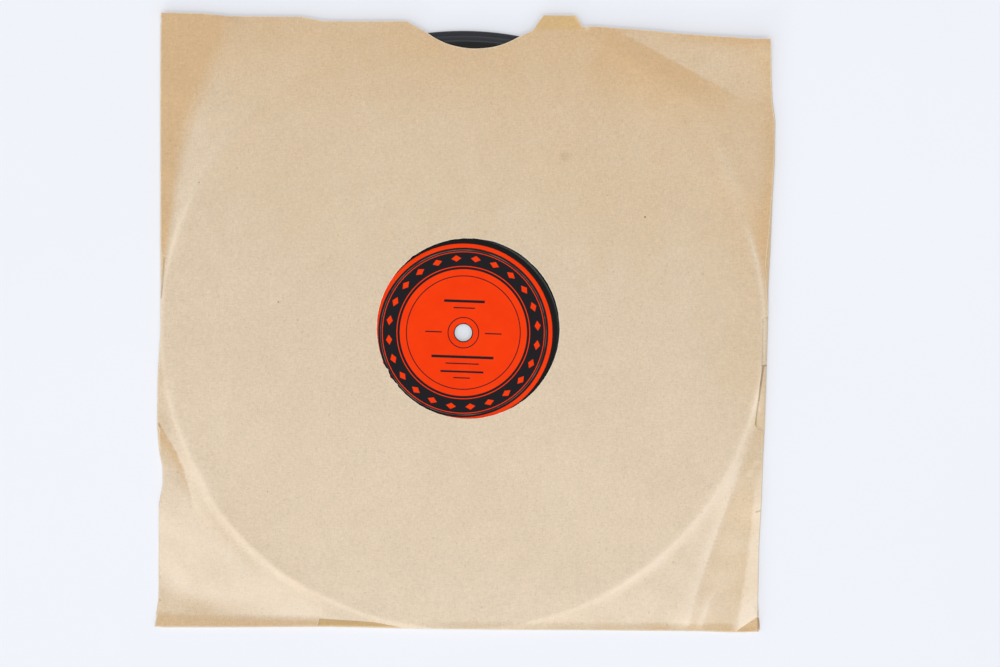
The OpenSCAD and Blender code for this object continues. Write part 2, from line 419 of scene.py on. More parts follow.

# Regions drawn browner: amount, and where
TONE_ZONES = [
    (-0.3, {"up": (78, 125)}), (-0.3, {"right": (88, 122), "up": (-60, -20), "down": (-80, -40)}),
    (-0.06, {"right": (30, 100), "up": (20, 100)}), (-0.5, {"up": (119, 125), "right": (80, 100)}),
    (-0.3, {"up": (124, 128), "right": (40, 52), "left": (-90, -70)}),
    (-0.5, {"out": (DISC_R + 0.8, DISC_R + 2), "aside": (108, 116), "up": (-62, -40), "down": (-62, -30)}),
    (-0.7, {"down": (122.4, 123.4), "right": (-20, 0), "left": (-118, -114)}),
    (-0.4, {"down": (122.4, 123.4), "right": (40, 80), "left": (-118, -114)})]
# Lines drawn paler or darker: line, amount, reach to its left and right, tapered shares of its ends. All
# but the tear's line are painted highlights and painted shade along the folds, rays and the disc's rim
TONE_LINES = [
    (UPPER_LEFT_STREAK, 0.2, 2, 6, (0.2, 0.5)), (rim(132, 172, 3, 8), 0.18, 4, 2.5, (0.4, 0.3)),
    (TOP_RIGHT_STREAK, 0.16, 2.5, 2.5, (0.3, 0.3)), (rim(188, 216), 0.55, 1.7, 3.4, (0.2, 0.2)),
    (rim(206, 246, 2.6), 0.45, 1.8, 1.8, (0.3, 0.3)), (rim(293, 352, 1), 0.95, 1.5, 2.8, (0.2, 0.12)),
    (rim(236, 304), 0.25, 0.8, 1.5, (0.2, 0.2)), (rim(150, 190), 0.8, 0.8, 1.5, (0.2, 0.2)),
    (rim(-20, 24), 0.8, 0.8, 1.5, (0.2, 0.2)), (LOWER_LEFT_FOLD, -0.4, 1.8, 2.2, (0.3, 0.3)),
    (LOWER_LEFT_STREAK, -0.3, 2.5, 3.5, (0.3, 0.4)), (LOWER_RIGHT_SHORT_RAY, 0.7, 0.8, 1.4, (0.5, 0.05)),
    (LOWER_RIGHT_THIN_RAY, -0.3, 1.6, 2.4, (0.3, 0.5)), (LOWER_RIGHT_TEAR, 0.8, 0.7, 0.7, (0.05, 0.05))]
# Lines where the tone changes: line, amounts and reaches to its left and right, tapered shares; where.
# These are mostly painted light and painted shade on either side of folds, rays and the disc's rim
TONE_EDGES = [
    ((rim(176, 106, 1, 8), 0.06, -0.1, 8, 12, (0.2, 0.3)), {}),
    ((TOP_RIGHT_VALLEY, 0.47, -0.36, 34, 24, (0.06, 0.65)), {"right": (20, 75)}),
    ((TOP_RIGHT_TIP, -0.8, 0.4, 4, 3, (0.1, 0.1)), {}),
    ((rim(214, 243, 1, 8), -0.3, 0, 5, 1, (0.3, 0.3)), {}),
    ((LOWER_LEFT_SHADE_EDGE, 0.3, -1.35, 1.6, 5.2, (0.03, 0.42)), {}),
    ((LOWER_RIGHT_RAY, -0.2, 0.65, 3, 5, (0.1, 0.02)), LOWER_RIGHT),
    ((RIGHT_MARGIN, 0, -0.4, 1, 4, (0.6, 0.02)), {})]
# Soft spots of paler or darker tone: centre, half sizes, amount, turn. The spot at the turned corner is a
# painted highlight, the one in the tear's gap is painted light against the gap's shadow
TONE_HUMPS = [((-108, -12), (22, 50), 0.14, 0), ((110, 112), (22, 9), 0.3, -28),
              ((127, 64), (3.5, 44), -0.4, 0), (GAP_CENTRE, (3.2, 12), 0.55, 0),
              ((119.8, -120.8), (5, 2.6), 0.8, 36), ((66, -118), (18, 6), 0.3, 0)]
GAP_FRESH = (GAP_CENTRE, (4, 15), 0.9)
# Regions on one side of a line: amount; line, where the rise starts and ends, way; where
BROWN_SOFTNESS = 2.5 + 7 * zone(up=(50, 115))
TONE_SIDES = [
    (-1, (UPPER_LEFT_BROWN, -BROWN_SOFTNESS, BROWN_SOFTNESS, 1), {"up": (2, 26), "left": (60, 90)}),
    (-0.85, (BOTTOM_SHADE, -1.5, 8, -1), {"left": (72, 112), "down": (100, 106)}),
    (1.4, (SCRAP_EDGE, -0.7, 0.7, 1), {"up": (SCRAP_FOOT, SCRAP_FOOT + 1.5), "left": (-52, -49)})]


def flap_zone():
    """1 where the front sheet lies on the flaps of the back sheet, rising evenly towards them from 0."""
    sides = zone(aside=(flap_low[0] - FLAP_EASE, flap_low[0]))
    return np.maximum(sides, zone(down=(-bottom_flap_high[1] - FLAP_EASE, -bottom_flap_high[1])))


def top_right_rise():
    """The paper beside the fold across the top right corner: a swell inside it, a slope outside it."""
    distance, side, _ = from_line(TOP_RIGHT_VALLEY)
    inner = FOLD_RISE * ramp(distance, 0, FOLD_RISE_TOP) * ramp(-distance, -FOLD_RISE_END, -FOLD_RISE_TOP)
    outer = CORNER_SLOPE * np.minimum(distance, CORNER_SLOPE_END)
    return np.where(side > 0, outer, inner) * zone(**TOP_RIGHT)


def front_relief():
    """Height of the front sheet's middle: flat on the disc, fallen in at the lower corners, creased."""
    lie = LIE + FLAP_STEP * flap_zone()
    slack = RIM_SLACK * zone(**SLACK_ZONE)
    outside = np.maximum(GR - DISC_R - RIM_ROOM - slack, 0)
    lower = zone(**LOWER_HALF)
    fall = RIM_FALL * (1 - np.exp(-outside / RIM_FALL_LENGTH))
    fall += CORNER_FALL * (1 - np.exp(-outside / CORNER_FALL_LENGTH))
    ridge = RIM_RIDGE * np.exp(-np.abs(GR - RIM_RIDGE_R - slack) / RIM_RIDGE_LENGTH)
    height = lie - fall * lower + ridge * (UPPER_RIDGE_SHARE + (1 - UPPER_RIDGE_SHARE) * lower)
    height += sum(waves(*row) for row in CORNER_WAVES) * ramp(outside, 0, CORNER_EASE)
    height += sum(crease(*row) for row in RELIEF_CREASES) + hump(*LOWER_LEFT_HUMP) + top_right_rise()
    from_window = np.abs(np.hypot(GX - WINDOW_CENTRE[0], GY - WINDOW_CENTRE[1]) - WINDOW_R)
    height += WINDOW_LIP * np.exp(-from_window / WINDOW_LIP_LENGTH) + waves(*PAPER_WAVES)
    # The paper never dips into the disc or into the disc's way out
    swept = (GR < SWEPT_R) | ((GY > 0) & (np.abs(GX) < SWEPT_R))
    return blurred(np.maximum(height, np.where(swept, lie, LEAST_HEIGHT)))


def front_lift():
    """How far the front sheet's torn edges stand off the flaps."""
    return blurred(sum(crease(*row) for row in LIFTED_EDGES))


def lower_right_tone():
    """The lower right corner: a painted highlight on the lit side of the long ray, a cloudy tone behind it,
    and a painted highlight along the right margin.
    """
    distance, side, _ = from_line(LOWER_RIGHT_RAY)
    before = RAY_HIGHLIGHT * ramp(-distance, *RAY_HIGHLIGHT_SPAN) + BEFORE_RAY_TONE + waves(*BEFORE_RAY_CLOUDS)
    tone = np.where(side > 0, BEHIND_RAY_TONE + waves(*BEHIND_RAY_CLOUDS), before)
    tone += MARGIN_HIGHLIGHT * across(*MARGIN_SIDE) * zone(**MARGIN_ZONE)
    return tone * zone(**LOWER_RIGHT)


def front_tone():
    """Tone of the front sheet: above 0 where it is drawn paler, down to -1 where it is drawn browner;
    besides toned and rubbed paper it holds painted highlights and painted shade along folds, rays and the
    disc's rim, and a painted sheen.
    """
    # Painted shade: darker and browner towards the top, and in the upper half towards the right
    tone = PAINTED_SHADE_UP * (GY - PAINTED_SHADE_FROM) + PAINTED_SHADE_RIGHT * GX * zone(**UPPER_HALF)
    tone += sum(waves(*row) for row in FRONT_WAVES)
    tone += sum(amount * zone(**where) for amount, where in TONE_ZONES)
    tone += sum(crease(*row) for row in TONE_LINES)
    tone += sum(edge_tone(*row) * zone(**where) for row, where in TONE_EDGES)
    tone += sum(hump(*row) for row in TONE_HUMPS)
    tone += sum(amount * across(*row) * zone(**where) for amount, row, where in TONE_SIDES)
    # Painted sheen: the lower left corner outside the rim is drawn paler, with clouds in it
    tone += (LOWER_LEFT_SHEEN + waves(*LOWER_LEFT_CLOUDS)) * zone(**LOWER_LEFT) + lower_right_tone()
    strip = across(*STRIP_SIDE) * zone(**STRIP_ZONE)
    return np.clip(tone + strip * (STRIP_TONE - tone), -1, PALEST)


def front_fresh():
    """Share of unfaded colour: all on the scrap beside the notch, some where paper was covered."""
    scrap = zone(up=(SCRAP_FOOT - SCRAP_SOFT, SCRAP_FOOT + SCRAP_SOFT))
    scrap = scrap * ((GX > SCRAP_LEFT) & (GX < SCRAP_RIGHT))
    right = across(*RIGHT_FRESH_SIDE) * zone(**RIGHT_FRESH_ZONE) * (GX > 0)
    left = across(*LEFT_FRESH_SIDE) * zone(**LEFT_FRESH_ZONE)
    covered = np.maximum(np.maximum(right, hump(*GAP_FRESH)), LEFT_FRESH_SHARE * left)
    return np.maximum(scrap, CORNER_FRESH * covered)


def back_tone():
    """Tone of the back panel: clouds, browned margins and the pale ring that the disc's rim has rubbed."""
    margins = BACK_MARGIN * ramp(np.maximum(np.abs(GX), np.abs(GY)), *BACK_MARGIN_SPAN)
    ring = BACK_RING * np.exp(-(((GR - DISC_R) / BACK_RING_W) ** 2))
    return ring - margins + sum(waves(*row) for row in BACK_WAVES)


FRONT_HEIGHT = front_relief()
FRONT_LIFT = front_lift()
FRONT_TONE = front_tone()
FRONT_FRESH = front_fresh()
BACK_TONE = back_tone()


def wander(points, seed):
    """Small steps to the side for the points of a closed line, as a hand-held cut has."""
    steps = np.random.default_rng(seed).normal(0, EDGE_WANDER, points.shape)
    for _ in range(WANDER_PASSES):
        steps = (steps + np.roll(steps, 1, 0) + np.roll(steps, -1, 0)) / 2
    return steps / 2


def closed_outline(parts, seed):
    """One closed line from several, with even steps and the slight wander of a worn cut."""
    corners = np.concatenate([np.asarray(part, float) for part in parts])
    points = []
    for start, end in zip(corners, np.roll(corners, -1, 0)):
        count = max(1, round(np.hypot(*(end - start)) / EDGE_STEP))
        points.extend(start + (end - start) * k / count for k in range(count))
    points = np.array(points)
    return points + wander(points, seed)


def to_left(along):
    """Unit steps to the left of some directions."""
    return np.c_[-along[:, 1], along[:, 0]] / np.hypot(*along.T)[:, None]


def inset(loop, distance):
    """The loop moved to the left of its direction, which is inwards where it runs counter-clockwise."""
    return loop + distance * to_left(np.roll(loop, -1, 0) - np.roll(loop, 1, 0))


def inside(points, loop):
    """Which points lie in a closed loop."""
    x, y = points.T
    within = np.zeros(len(points), bool)
    for (x0, y0), (x1, y1) in zip(loop, np.roll(loop, -1, 0)):
        if y0 != y1:
            crosses = (y0 > y) != (y1 > y)
            within ^= crosses & (x < x0 + (x1 - x0) * (y - y0) / (y1 - y0))
    return within


def hex_grid(low, high, step):
    """Points of an even triangular grid over a rectangle."""
    rows = np.arange(low[1], high[1], step * math.sqrt(3) / 2)
    columns = np.arange(low[0], high[0], step)
    x, y = np.meshgrid(columns, rows)
    x[1::2] += step / 2
    return np.c_[x.ravel(), y.ravel()]


def distances(points, others):
    """How far each point is from the nearest of the others."""
    tree = KDTree(len(others))
    for i, (x, y) in enumerate(others):
        tree.insert((x, y, 0), i)
    tree.balance()
    return np.array([tree.find((x, y, 0))[2] for x, y in points])


def turns(points, triangles):
    """The cross product of two sides of each triangle."""
    a, b, c = (points[triangles[:, k]] for k in range(3))
    return np.cross(b - a, c - a)


def triangulated(outline, window, inner):
    """Triangles that fill an outline around a window, through the inner points: points and triangles."""
    loops = [outline, window]
    points = np.concatenate([*loops, *(inset(loop, EDGE_BAND) for loop in loops), inner])
    edges = []
    first = 0
    for loop in loops:
        ring = np.arange(first, first + len(loop))
        edges.extend(zip(ring.tolist(), np.roll(ring, -1).tolist()))
        first += len(loop)
    made = delaunay_2d_cdt([Vector(p) for p in points], edges, [], 0, MERGE)
    points = np.array([tuple(v) for v in made[0]])
    triangles = np.array(made[2])
    middles = points[triangles].mean(1)
    triangles = triangles[inside(middles, outline) & ~inside(middles, window)]
    used, triangles = np.unique(triangles, return_inverse=True)
    triangles = triangles.reshape(-1, 3)
    points = points[used]
    turned = turns(points, triangles) < 0
    triangles[turned] = triangles[turned][:, ::-1]
    return points, triangles


def meshed(outline, window, rows, step):
    """The flat mesh of a sheet, with close rows of points along its folds."""
    edge = np.concatenate([outline, window])
    rows = rows[inside(rows, outline)]
    rows = rows[distances(rows, edge) > EDGE_BAND + ROW_ROOM]
    grid = hex_grid(outline.min(0), outline.max(0), step)
    grid = grid[inside(grid, outline) & ~inside(grid, window)]
    grid = grid[distances(grid, edge) > EDGE_BAND + step / 2]
    grid = grid[distances(grid, rows) > step / 2]
    return triangulated(outline, window, np.concatenate([rows, grid]))


def flat_size(flat, triangles):
    """Width and height over all of a flat mesh, and its area, in metres."""
    return np.ptp(flat, 0) * MM, np.abs(turns(flat, triangles)).sum() / 2 * MM**2


def rim_edges(triangles):
    """The edges that only one triangle uses, in its direction."""
    edges = np.concatenate([triangles[:, [0, 1]], triangles[:, [1, 2]], triangles[:, [2, 0]]])
    _, index, uses = np.unique(np.sort(edges, 1), axis=0, return_index=True, return_counts=True)
    return edges[index[uses == 1]]


def vertex_normals(points, triangles):
    """Unit normals at the points of a triangle mesh."""
    faces = turns(points, triangles)
    normals = np.zeros_like(points)
    for k in range(3):
        np.add.at(normals, triangles[:, k], faces)
    return normals / np.linalg.norm(normals, axis=1)[:, None]


def new_piece(name, points, faces, materials, kinds=None, sharp=None):
    """A scene object of points and faces; with kinds of faces, it is smooth but for its sharp angles."""
    mesh = bpy.data.meshes.new(name)
    mesh.from_pydata((points * MM).tolist(), [], faces)
    for material in materials:
        mesh.materials.append(material)
    if kinds is not None:
        mesh.polygons.foreach_set("material_index", kinds)
        mesh.polygons.foreach_set("use_smooth", np.ones(len(faces), bool))
        mesh.set_sharp_from_angle(angle=math.radians(sharp))
    piece = bpy.data.objects.new(name, mesh)
    bpy.context.scene.collection.objects.link(piece)
    return piece


MAIN_SHARE = 0.78
SIDE_SHARE = 0.18
MAP_EDGE = 0.01


def sheet_map(flat, triangles, wall_count, main_side):
    """A sheet's picture map: the main side large, the other side narrow, the cut edge in a row."""
    even = (flat - flat.min(0)) / np.ptp(flat, 0).max()
    narrow = even * (SIDE_SHARE, MAIN_SHARE) + (2 * MAP_EDGE + MAIN_SHARE, MAP_EDGE)
    sides = [even * MAIN_SHARE + MAP_EDGE, narrow]
    upper, lower = sides if main_side == "upper" else sides[::-1]
    run = np.linspace(MAP_EDGE, 1 - MAP_EDGE, wall_count + 1)
    low, high = (np.full(wall_count, 1 - k * MAP_EDGE) for k in (4, 2))
    walls = [np.c_[run[1:], high], np.c_[run[:-1], high], np.c_[run[:-1], low], np.c_[run[1:], low]]
    parts = [upper[triangles], lower[triangles[:, ::-1]], np.stack(walls, 1)]
    return np.concatenate([part.reshape(-1, 2) for part in parts])


def paper_sheet(name, flat, triangles, middle, main_side, materials, values):
    """A sheet with real thickness: an upper face, a lower face and cut edges, one material each."""
    normals = vertex_normals(middle, triangles)
    count = len(flat)
    points = np.concatenate([middle + normals * PAPER_T / 2, middle - normals * PAPER_T / 2])
    border = rim_edges(triangles)
    walls = np.c_[border[:, 1], border[:, 0], border[:, 0] + count, border[:, 1] + count]
    faces = triangles.tolist() + (triangles[:, ::-1] + count).tolist() + walls.tolist()
    kinds = np.repeat([0, 1, 2], [len(triangles), len(triangles), len(walls)])
    piece = new_piece(name, points, faces, materials, kinds, PAPER_SHARP)
    for key, numbers in values.items():
        attribute = piece.data.attributes.new(key, "FLOAT", "POINT")
        attribute.data.foreach_set("value", np.tile(numbers, 2).astype(np.float32))
    uv = sheet_map(flat, triangles, len(walls), main_side)
    piece.data.uv_layers.new(name="OFBake").data.foreach_set("uv", uv.astype(np.float32).ravel())
    return piece


def edge_wear(flat, outline, window):
    """1 on the cut edges of a sheet, 0 a little inside them."""
    return np.maximum(0, 1 - distances(flat, np.concatenate([outline, window])) / EDGE_BAND)


def notch(shift=0):
    """The thumb notch's round stretch, from its right end to its left end."""
    return arc((NOTCH_CENTRE[0], NOTCH_CENTRE[1] + shift), NOTCH_R, NOTCH_END, NOTCH_START, EDGE_STEP)


def label_window(seed):
    """The round label window, running clockwise, cut by hand a little unevenly."""
    ring = arc((0, 0), WINDOW_R, 360, 0, WINDOW_STEP)[:-1]
    angles = np.degrees(np.arctan2(ring[:, 1], ring[:, 0])) % 360
    for angle, depth, half_width in WINDOW_NICKS:
        ring *= 1 + depth / WINDOW_R * np.exp(-(((angles - angle) / half_width) ** 2))[:, None]
    return ring * (1, WINDOW_SQUASH) + WINDOW_CENTRE + wander(ring, seed)


def beside(points, offsets):
    """Rows of points beside a line, at some distances to its left."""
    points = np.asarray(points, float)
    runs = np.concatenate([[0], np.cumsum(np.hypot(*np.diff(points, axis=0).T))])
    places = np.arange(0, runs[-1], EDGE_STEP)
    row = np.c_[np.interp(places, runs, points[:, 0]), np.interp(places, runs, points[:, 1])]
    left = to_left(np.gradient(row, axis=0))
    return np.concatenate([row + offset * left for offset in offsets])


def crease_rows():
    """Close rows of points along the sharp lines of the front sheet."""
    lines = [LOWER_RIGHT_RAY, LOWER_RIGHT_SHORT_RAY, RIGHT_MARGIN, TOP_RIGHT_VALLEY, LOWER_LEFT_SHADE_EDGE]
    rows = [beside(line, CREASE_ROWS) for line in lines]
    rows.append(beside(rim(RIM_ROWS_FROM, RIM_ROWS_TO, step=2), RIM_ROWS))
    return np.concatenate(rows)


def front_sheet(materials):
    """The front sheet, which lies on the disc and on the flaps, with its flat size and area."""
    parts = [FRONT_BOTTOM, FRONT_RIGHT, FRONT_MOUTH_RIGHT, notch(), FRONT_MOUTH_LEFT, FRONT_LEFT]
    outline = closed_outline(parts, FRONT_SEED)
    window = label_window(FRONT_WINDOW_SEED)
    flat, triangles = meshed(outline, window, crease_rows(), FRONT_STEP)
    middle = np.c_[flat, sampled(FRONT_HEIGHT + FRONT_LIFT, *flat.T)]
    values = {"tone": sampled(FRONT_TONE, *flat.T), "fresh": sampled(FRONT_FRESH, *flat.T),
              "worn": edge_wear(flat, outline, window)}
    piece = paper_sheet("front_sheet", flat, triangles, middle, "upper", materials, values)
    return piece, *flat_size(flat, triangles)


def to_fold(side, x, y):
    """Places along a fold, and how far out they are across it."""
    return (y, side * x) if side else (x, -y)


def from_fold(side, along, out):
    """The ground plan of places along a fold that are some way out across it."""
    return np.c_[side * out, along] if side else np.c_[along, -out]


def fold_at(side, along):
    """How far out a fold starts, and its radius, at places along it."""
    outer = np.interp(along, *to_fold(side, *np.array(FOLD_EDGES[side]).T))
    height = sampled(FRONT_HEIGHT, *from_fold(side, along, outer - FOLD_INSIDE).T)
    radius = (height - FLAP_STEP - BACK_MID) / 2
    return outer - PAPER_T / 2 - radius, radius


def folded(flat):
    """The middle of the back sheet in space, how far each point is covered, and its share of the painted
    light drawn along the fold crests.
    """
    space = np.c_[flat, np.full(len(flat), BACK_MID)]
    covered = np.zeros(len(flat))
    highlight_share = np.zeros(len(flat))
    for side, (low, high) in FOLD_ENDS.items():
        along, out = to_fold(side, *flat.T)
        start, radius = fold_at(side, along)
        run = out - start
        here = (run > 0) & (along > low - FOLD_END_ROOM)
        reach = 1
        if side == BOTTOM:
            here &= along < high + FOLD_END_ROOM
            reach = ramp(-along, *BOTTOM_COVERED_END)
        angle = np.clip(run / radius, 0, math.pi)
        past = run - math.pi * radius
        plan = from_fold(side, along, start + radius * np.sin(angle) - np.maximum(past, 0))
        height = BACK_MID + radius * (1 - np.cos(angle))
        height = np.where(past > 0, sampled(FRONT_HEIGHT, *plan.T) - FLAP_STEP, height)
        space[here] = np.c_[plan, height][here]
        covered = np.where(here, ramp(past, *COVERED[side]) * reach, covered)
        # Share of painted light along the fold's crest
        highlight_share = np.where(here, np.sin(angle) * reach, highlight_share)
    return space, covered, highlight_share


def flap_outline(side, width, slant):
    """Parts of a flap's flat outline: the feet of its slits, the ends of its fold and its outer edge."""
    ends = np.array(FOLD_ENDS[side])
    along = np.linspace(ends[0] + width, ends[1] - slant, FLAP_POINTS)
    start, radius = fold_at(side, along)
    outer = from_fold(side, along, start + math.pi * radius + width)
    start, radius = fold_at(side, ends)
    feet = from_fold(side, ends + (-FOLD_SLIT, FOLD_SLIT), start + FOLD_OVERLAP)
    return feet, from_fold(side, ends, start + math.pi * radius), outer


def back_outline():
    """The flat outline of the back sheet with its three flaps."""
    feet, fold, outer = flap_outline(BOTTOM, BOTTOM_FLAP_W, BOTTOM_FLAP_W)
    parts = [feet[:1], fold[:1], outer, fold[1:] - BOTTOM_FLAP_TAB, fold[1:], feet[1:], BACK_CORNER_RIGHT]
    feet, fold, outer = flap_outline(RIGHT, FLAP_W, FLAP_TOP_SLANT)
    parts += [feet[:1], fold[:1], outer, fold[1:]]
    parts += [BACK_MOUTH_RIGHT, notch(BACK_NOTCH_SHIFT), BACK_MOUTH_LEFT]
    feet, fold, outer = flap_outline(LEFT, FLAP_W, FLAP_TOP_SLANT)
    parts += [fold[1:], outer[::-1], fold[:1], feet[:1], BACK_CORNER_LEFT]
    return closed_outline(parts, BACK_SEED)


def fold_rows():
    """Close rows of points along the three folds of the back sheet, in the flat."""
    rows = []
    for side, span in FOLD_ROW_SPANS.items():
        along = np.arange(*span, FOLD_ROW_STEP)
        start, radius = fold_at(side, along)
        rows.extend(from_fold(side, along, start + share * math.pi * radius) for share in FOLD_ROWS)
    return np.concatenate(rows)


def back_sheet(materials):
    """The back sheet, meshed in the flat and then folded, with its flat size and area."""
    outline = back_outline()
    window = label_window(BACK_WINDOW_SEED)
    flat, triangles = meshed(outline, window, fold_rows(), BACK_STEP)
    middle, covered, highlight_share = folded(flat)
    x, y, height = middle.T
    raised = height > BACK_MID + FLAP_STEP
    folded_over = raised & (np.abs(x) > flap_low[0])
    tone = np.where(folded_over, sampled(FRONT_TONE, x, y), sampled(BACK_TONE, x, y))
    corner = ramp(x, *OPEN_CORNER_RIGHT) * ramp(-y, *OPEN_CORNER_DOWN) * raised
    tone = tone * (1 - corner) + OPEN_CORNER_TONE * corner
    # Cut edges are worn pale; the fold crests get painted light in the same pale colour
    worn = np.maximum(edge_wear(flat, outline, window), FOLD_CREST_LIGHT * highlight_share)
    fresh = np.maximum(covered, sampled(FRONT_FRESH, x, y) * folded_over)
    # The flaps under the front sheet get painted shade
    values = {"tone": tone, "fresh": fresh, "stain": covered, "worn": worn}
    piece = paper_sheet("back_sheet", flat, triangles, middle, "lower", materials, values)
    return piece, *flat_size(flat, triangles)


GLUE_HALF = 0.45 * GLUE_T


def glue_strip(node, material):
    """A thin line of dried glue between a flap and the front sheet, where the frame has it."""
    low, high = node_box(node)
    shape = [max(2, math.ceil((high[k] - low[k]) / EDGE_STEP) + 1) for k in (0, 1)]
    lines = [np.linspace(low[k], high[k], shape[k]) for k in (0, 1)]
    x, y = (a.ravel() for a in np.meshgrid(*lines, indexing="ij"))
    middle = sampled(FRONT_HEIGHT, x, y) - FLAP_STEP / 2
    points = np.concatenate([np.c_[x, y, middle + GLUE_HALF], np.c_[x, y, middle - GLUE_HALF]])
    index = np.arange(len(x)).reshape(shape)
    quads = np.stack([index[:-1, :-1], index[1:, :-1], index[1:, 1:], index[:-1, 1:]], -1).reshape(-1, 4)
    border = np.concatenate([index[:-1, 0], index[-1, :-1], index[:0:-1, -1], index[0, :0:-1]])
    ahead = np.roll(border, -1)
    walls = np.c_[ahead, border, border + len(x), ahead + len(x)]
    faces = np.concatenate([quads, quads[:, ::-1] + len(x), walls]).tolist()
    return new_piece(node.replace("_line", "_strip"), points, faces, [material])


def revolved(name, profile, materials, kind_of):
    """A ring turned about the Z axis from a closed profile of radii and heights, of several materials."""
    profile = np.asarray(profile, float)
    angles = np.linspace(0, 2 * math.pi, DISC_SEGMENTS, endpoint=False)
    radius, turn = np.meshgrid(profile[:, 0], angles)
    height = np.broadcast_to(profile[:, 1], radius.shape)
    points = np.stack([radius * np.cos(turn), radius * np.sin(turn), height], -1).reshape(-1, 3)
    index = np.arange(len(points)).reshape(DISC_SEGMENTS, -1)
    ahead = np.roll(index, -1, 0)
    quads = np.stack([index, ahead, np.roll(ahead, -1, 1), np.roll(index, -1, 1)], -1).reshape(-1, 4)
    kinds = [kind_of(r) for r in (profile[:, 0] + np.roll(profile[:, 0], -1)) / 2]
    return new_piece(name, points, quads.tolist(), materials, np.tile(kinds, DISC_SEGMENTS), TURNED_SHARP)


# Disc and label
RIM_ROUND = 0.9
RIM_ROUND_STEP = 0.12
HOLE_BEVEL = 0.06
COLLAR_R = 4.0
STOP_GROOVE_R = 39.7
STOP_GROOVE_W = 0.5
STOP_GROOVE_DEPTH = 0.1
LAND_RING = 0.06
BAND_INNER = 52
BAND_OUTER = 120.7
BAND_DEPTH = 0.04
BAND_EDGE = 0.4
BAND_RINGS = 120
# Amount and two rates of the band's swells
BAND_SWELL = (0.012, 1.7, 0.31)
BAND_RIPPLE = (0.005, 4.9)
PRESSED_R = 34.3
PRESSED_W = 0.7
PRESSED_DEPTH = 0.06
PRESSED_RINGS = 9
LABEL_RINGS = 16
LABEL_LEAN = -1.4
LABEL_GAP = 0.02
LABEL_SEAT_GAP = 0.01
LABEL_BEVEL = 0.03
LABEL_OUTER_BEVEL = 0.12
LABEL_INNER_BEVEL = 0.15


def band_height(radius):
    """Height of the recorded band from the face, with swells of loud and quiet passages."""
    amount, quick, slow = BAND_SWELL
    ripple, rate = BAND_RIPPLE
    swell = amount * np.sin(quick * radius) * np.sin(slow * radius + 1) + ripple * np.sin(rate * radius)
    return -BAND_DEPTH + swell


def disc_face():
    """One face of the disc from the hole to the rim's middle, as radii and heights."""
    top = DISC_HALF
    seat = top - LABEL_T
    band = np.linspace(BAND_INNER + BAND_EDGE, BAND_OUTER - BAND_EDGE, BAND_RINGS)
    groove_low = STOP_GROOVE_R - STOP_GROOVE_W / 2
    groove_high = STOP_GROOVE_R + STOP_GROOVE_W / 2
    recess = LABEL_R + LABEL_GAP
    inner = [(HOLE_R, top - HOLE_BEVEL), (HOLE_R + HOLE_BEVEL, top), (COLLAR_R, top), (COLLAR_R, seat),
             (recess, seat), (recess, top), (groove_low - LAND_RING, top), (groove_low, top),
             (STOP_GROOVE_R, top - STOP_GROOVE_DEPTH), (groove_high, top), (groove_high + LAND_RING, top),
             (BAND_INNER - LAND_RING, top), (BAND_INNER, top)]
    outer = [(BAND_OUTER, top), (BAND_OUTER + LAND_RING, top), (DISC_R - RIM_ROUND - LAND_RING, top)]
    rounded = arc((DISC_R - RIM_ROUND, top - RIM_ROUND), RIM_ROUND, 90, 0, RIM_ROUND_STEP)
    return np.concatenate([inner, np.c_[band, top + band_height(band)], outer, rounded])


def record_disc(materials):
    """The pressed disc, the same on both faces."""
    face = disc_face()
    profile = np.concatenate([face, face[::-1] * (1, -1)])[::-1]
    return revolved("record_disc", profile, materials, lambda r: int(BAND_INNER < r < BAND_OUTER))


def paper_label(name, material, turn):
    """A label seated flush in the disc, with the ring that the press leaves in it."""
    top = DISC_HALF
    seat = top - LABEL_T + LABEL_SEAT_GAP
    outer = LABEL_R - LABEL_GAP
    inner = COLLAR_R + LABEL_GAP
    rings = np.linspace(COLLAR_R + LABEL_INNER_BEVEL, PRESSED_R - PRESSED_W, LABEL_RINGS)
    steps = [(r, top) for r in rings]
    shares = np.linspace(-1, 1, PRESSED_RINGS)
    ring = [(PRESSED_R + s * PRESSED_W / 2, top - PRESSED_DEPTH * (1 - s * s)) for s in shares]
    edge = [(LABEL_R - LABEL_OUTER_BEVEL, top), (outer, top - LABEL_BEVEL), (outer, seat), (inner, seat),
            (inner, top - LABEL_BEVEL)]
    piece = revolved(name, (steps + ring + edge)[::-1], [material], lambda r: 0)
    piece.matrix_world = turn
    return piece


NOISE_RANGE = (0.3, 0.7)


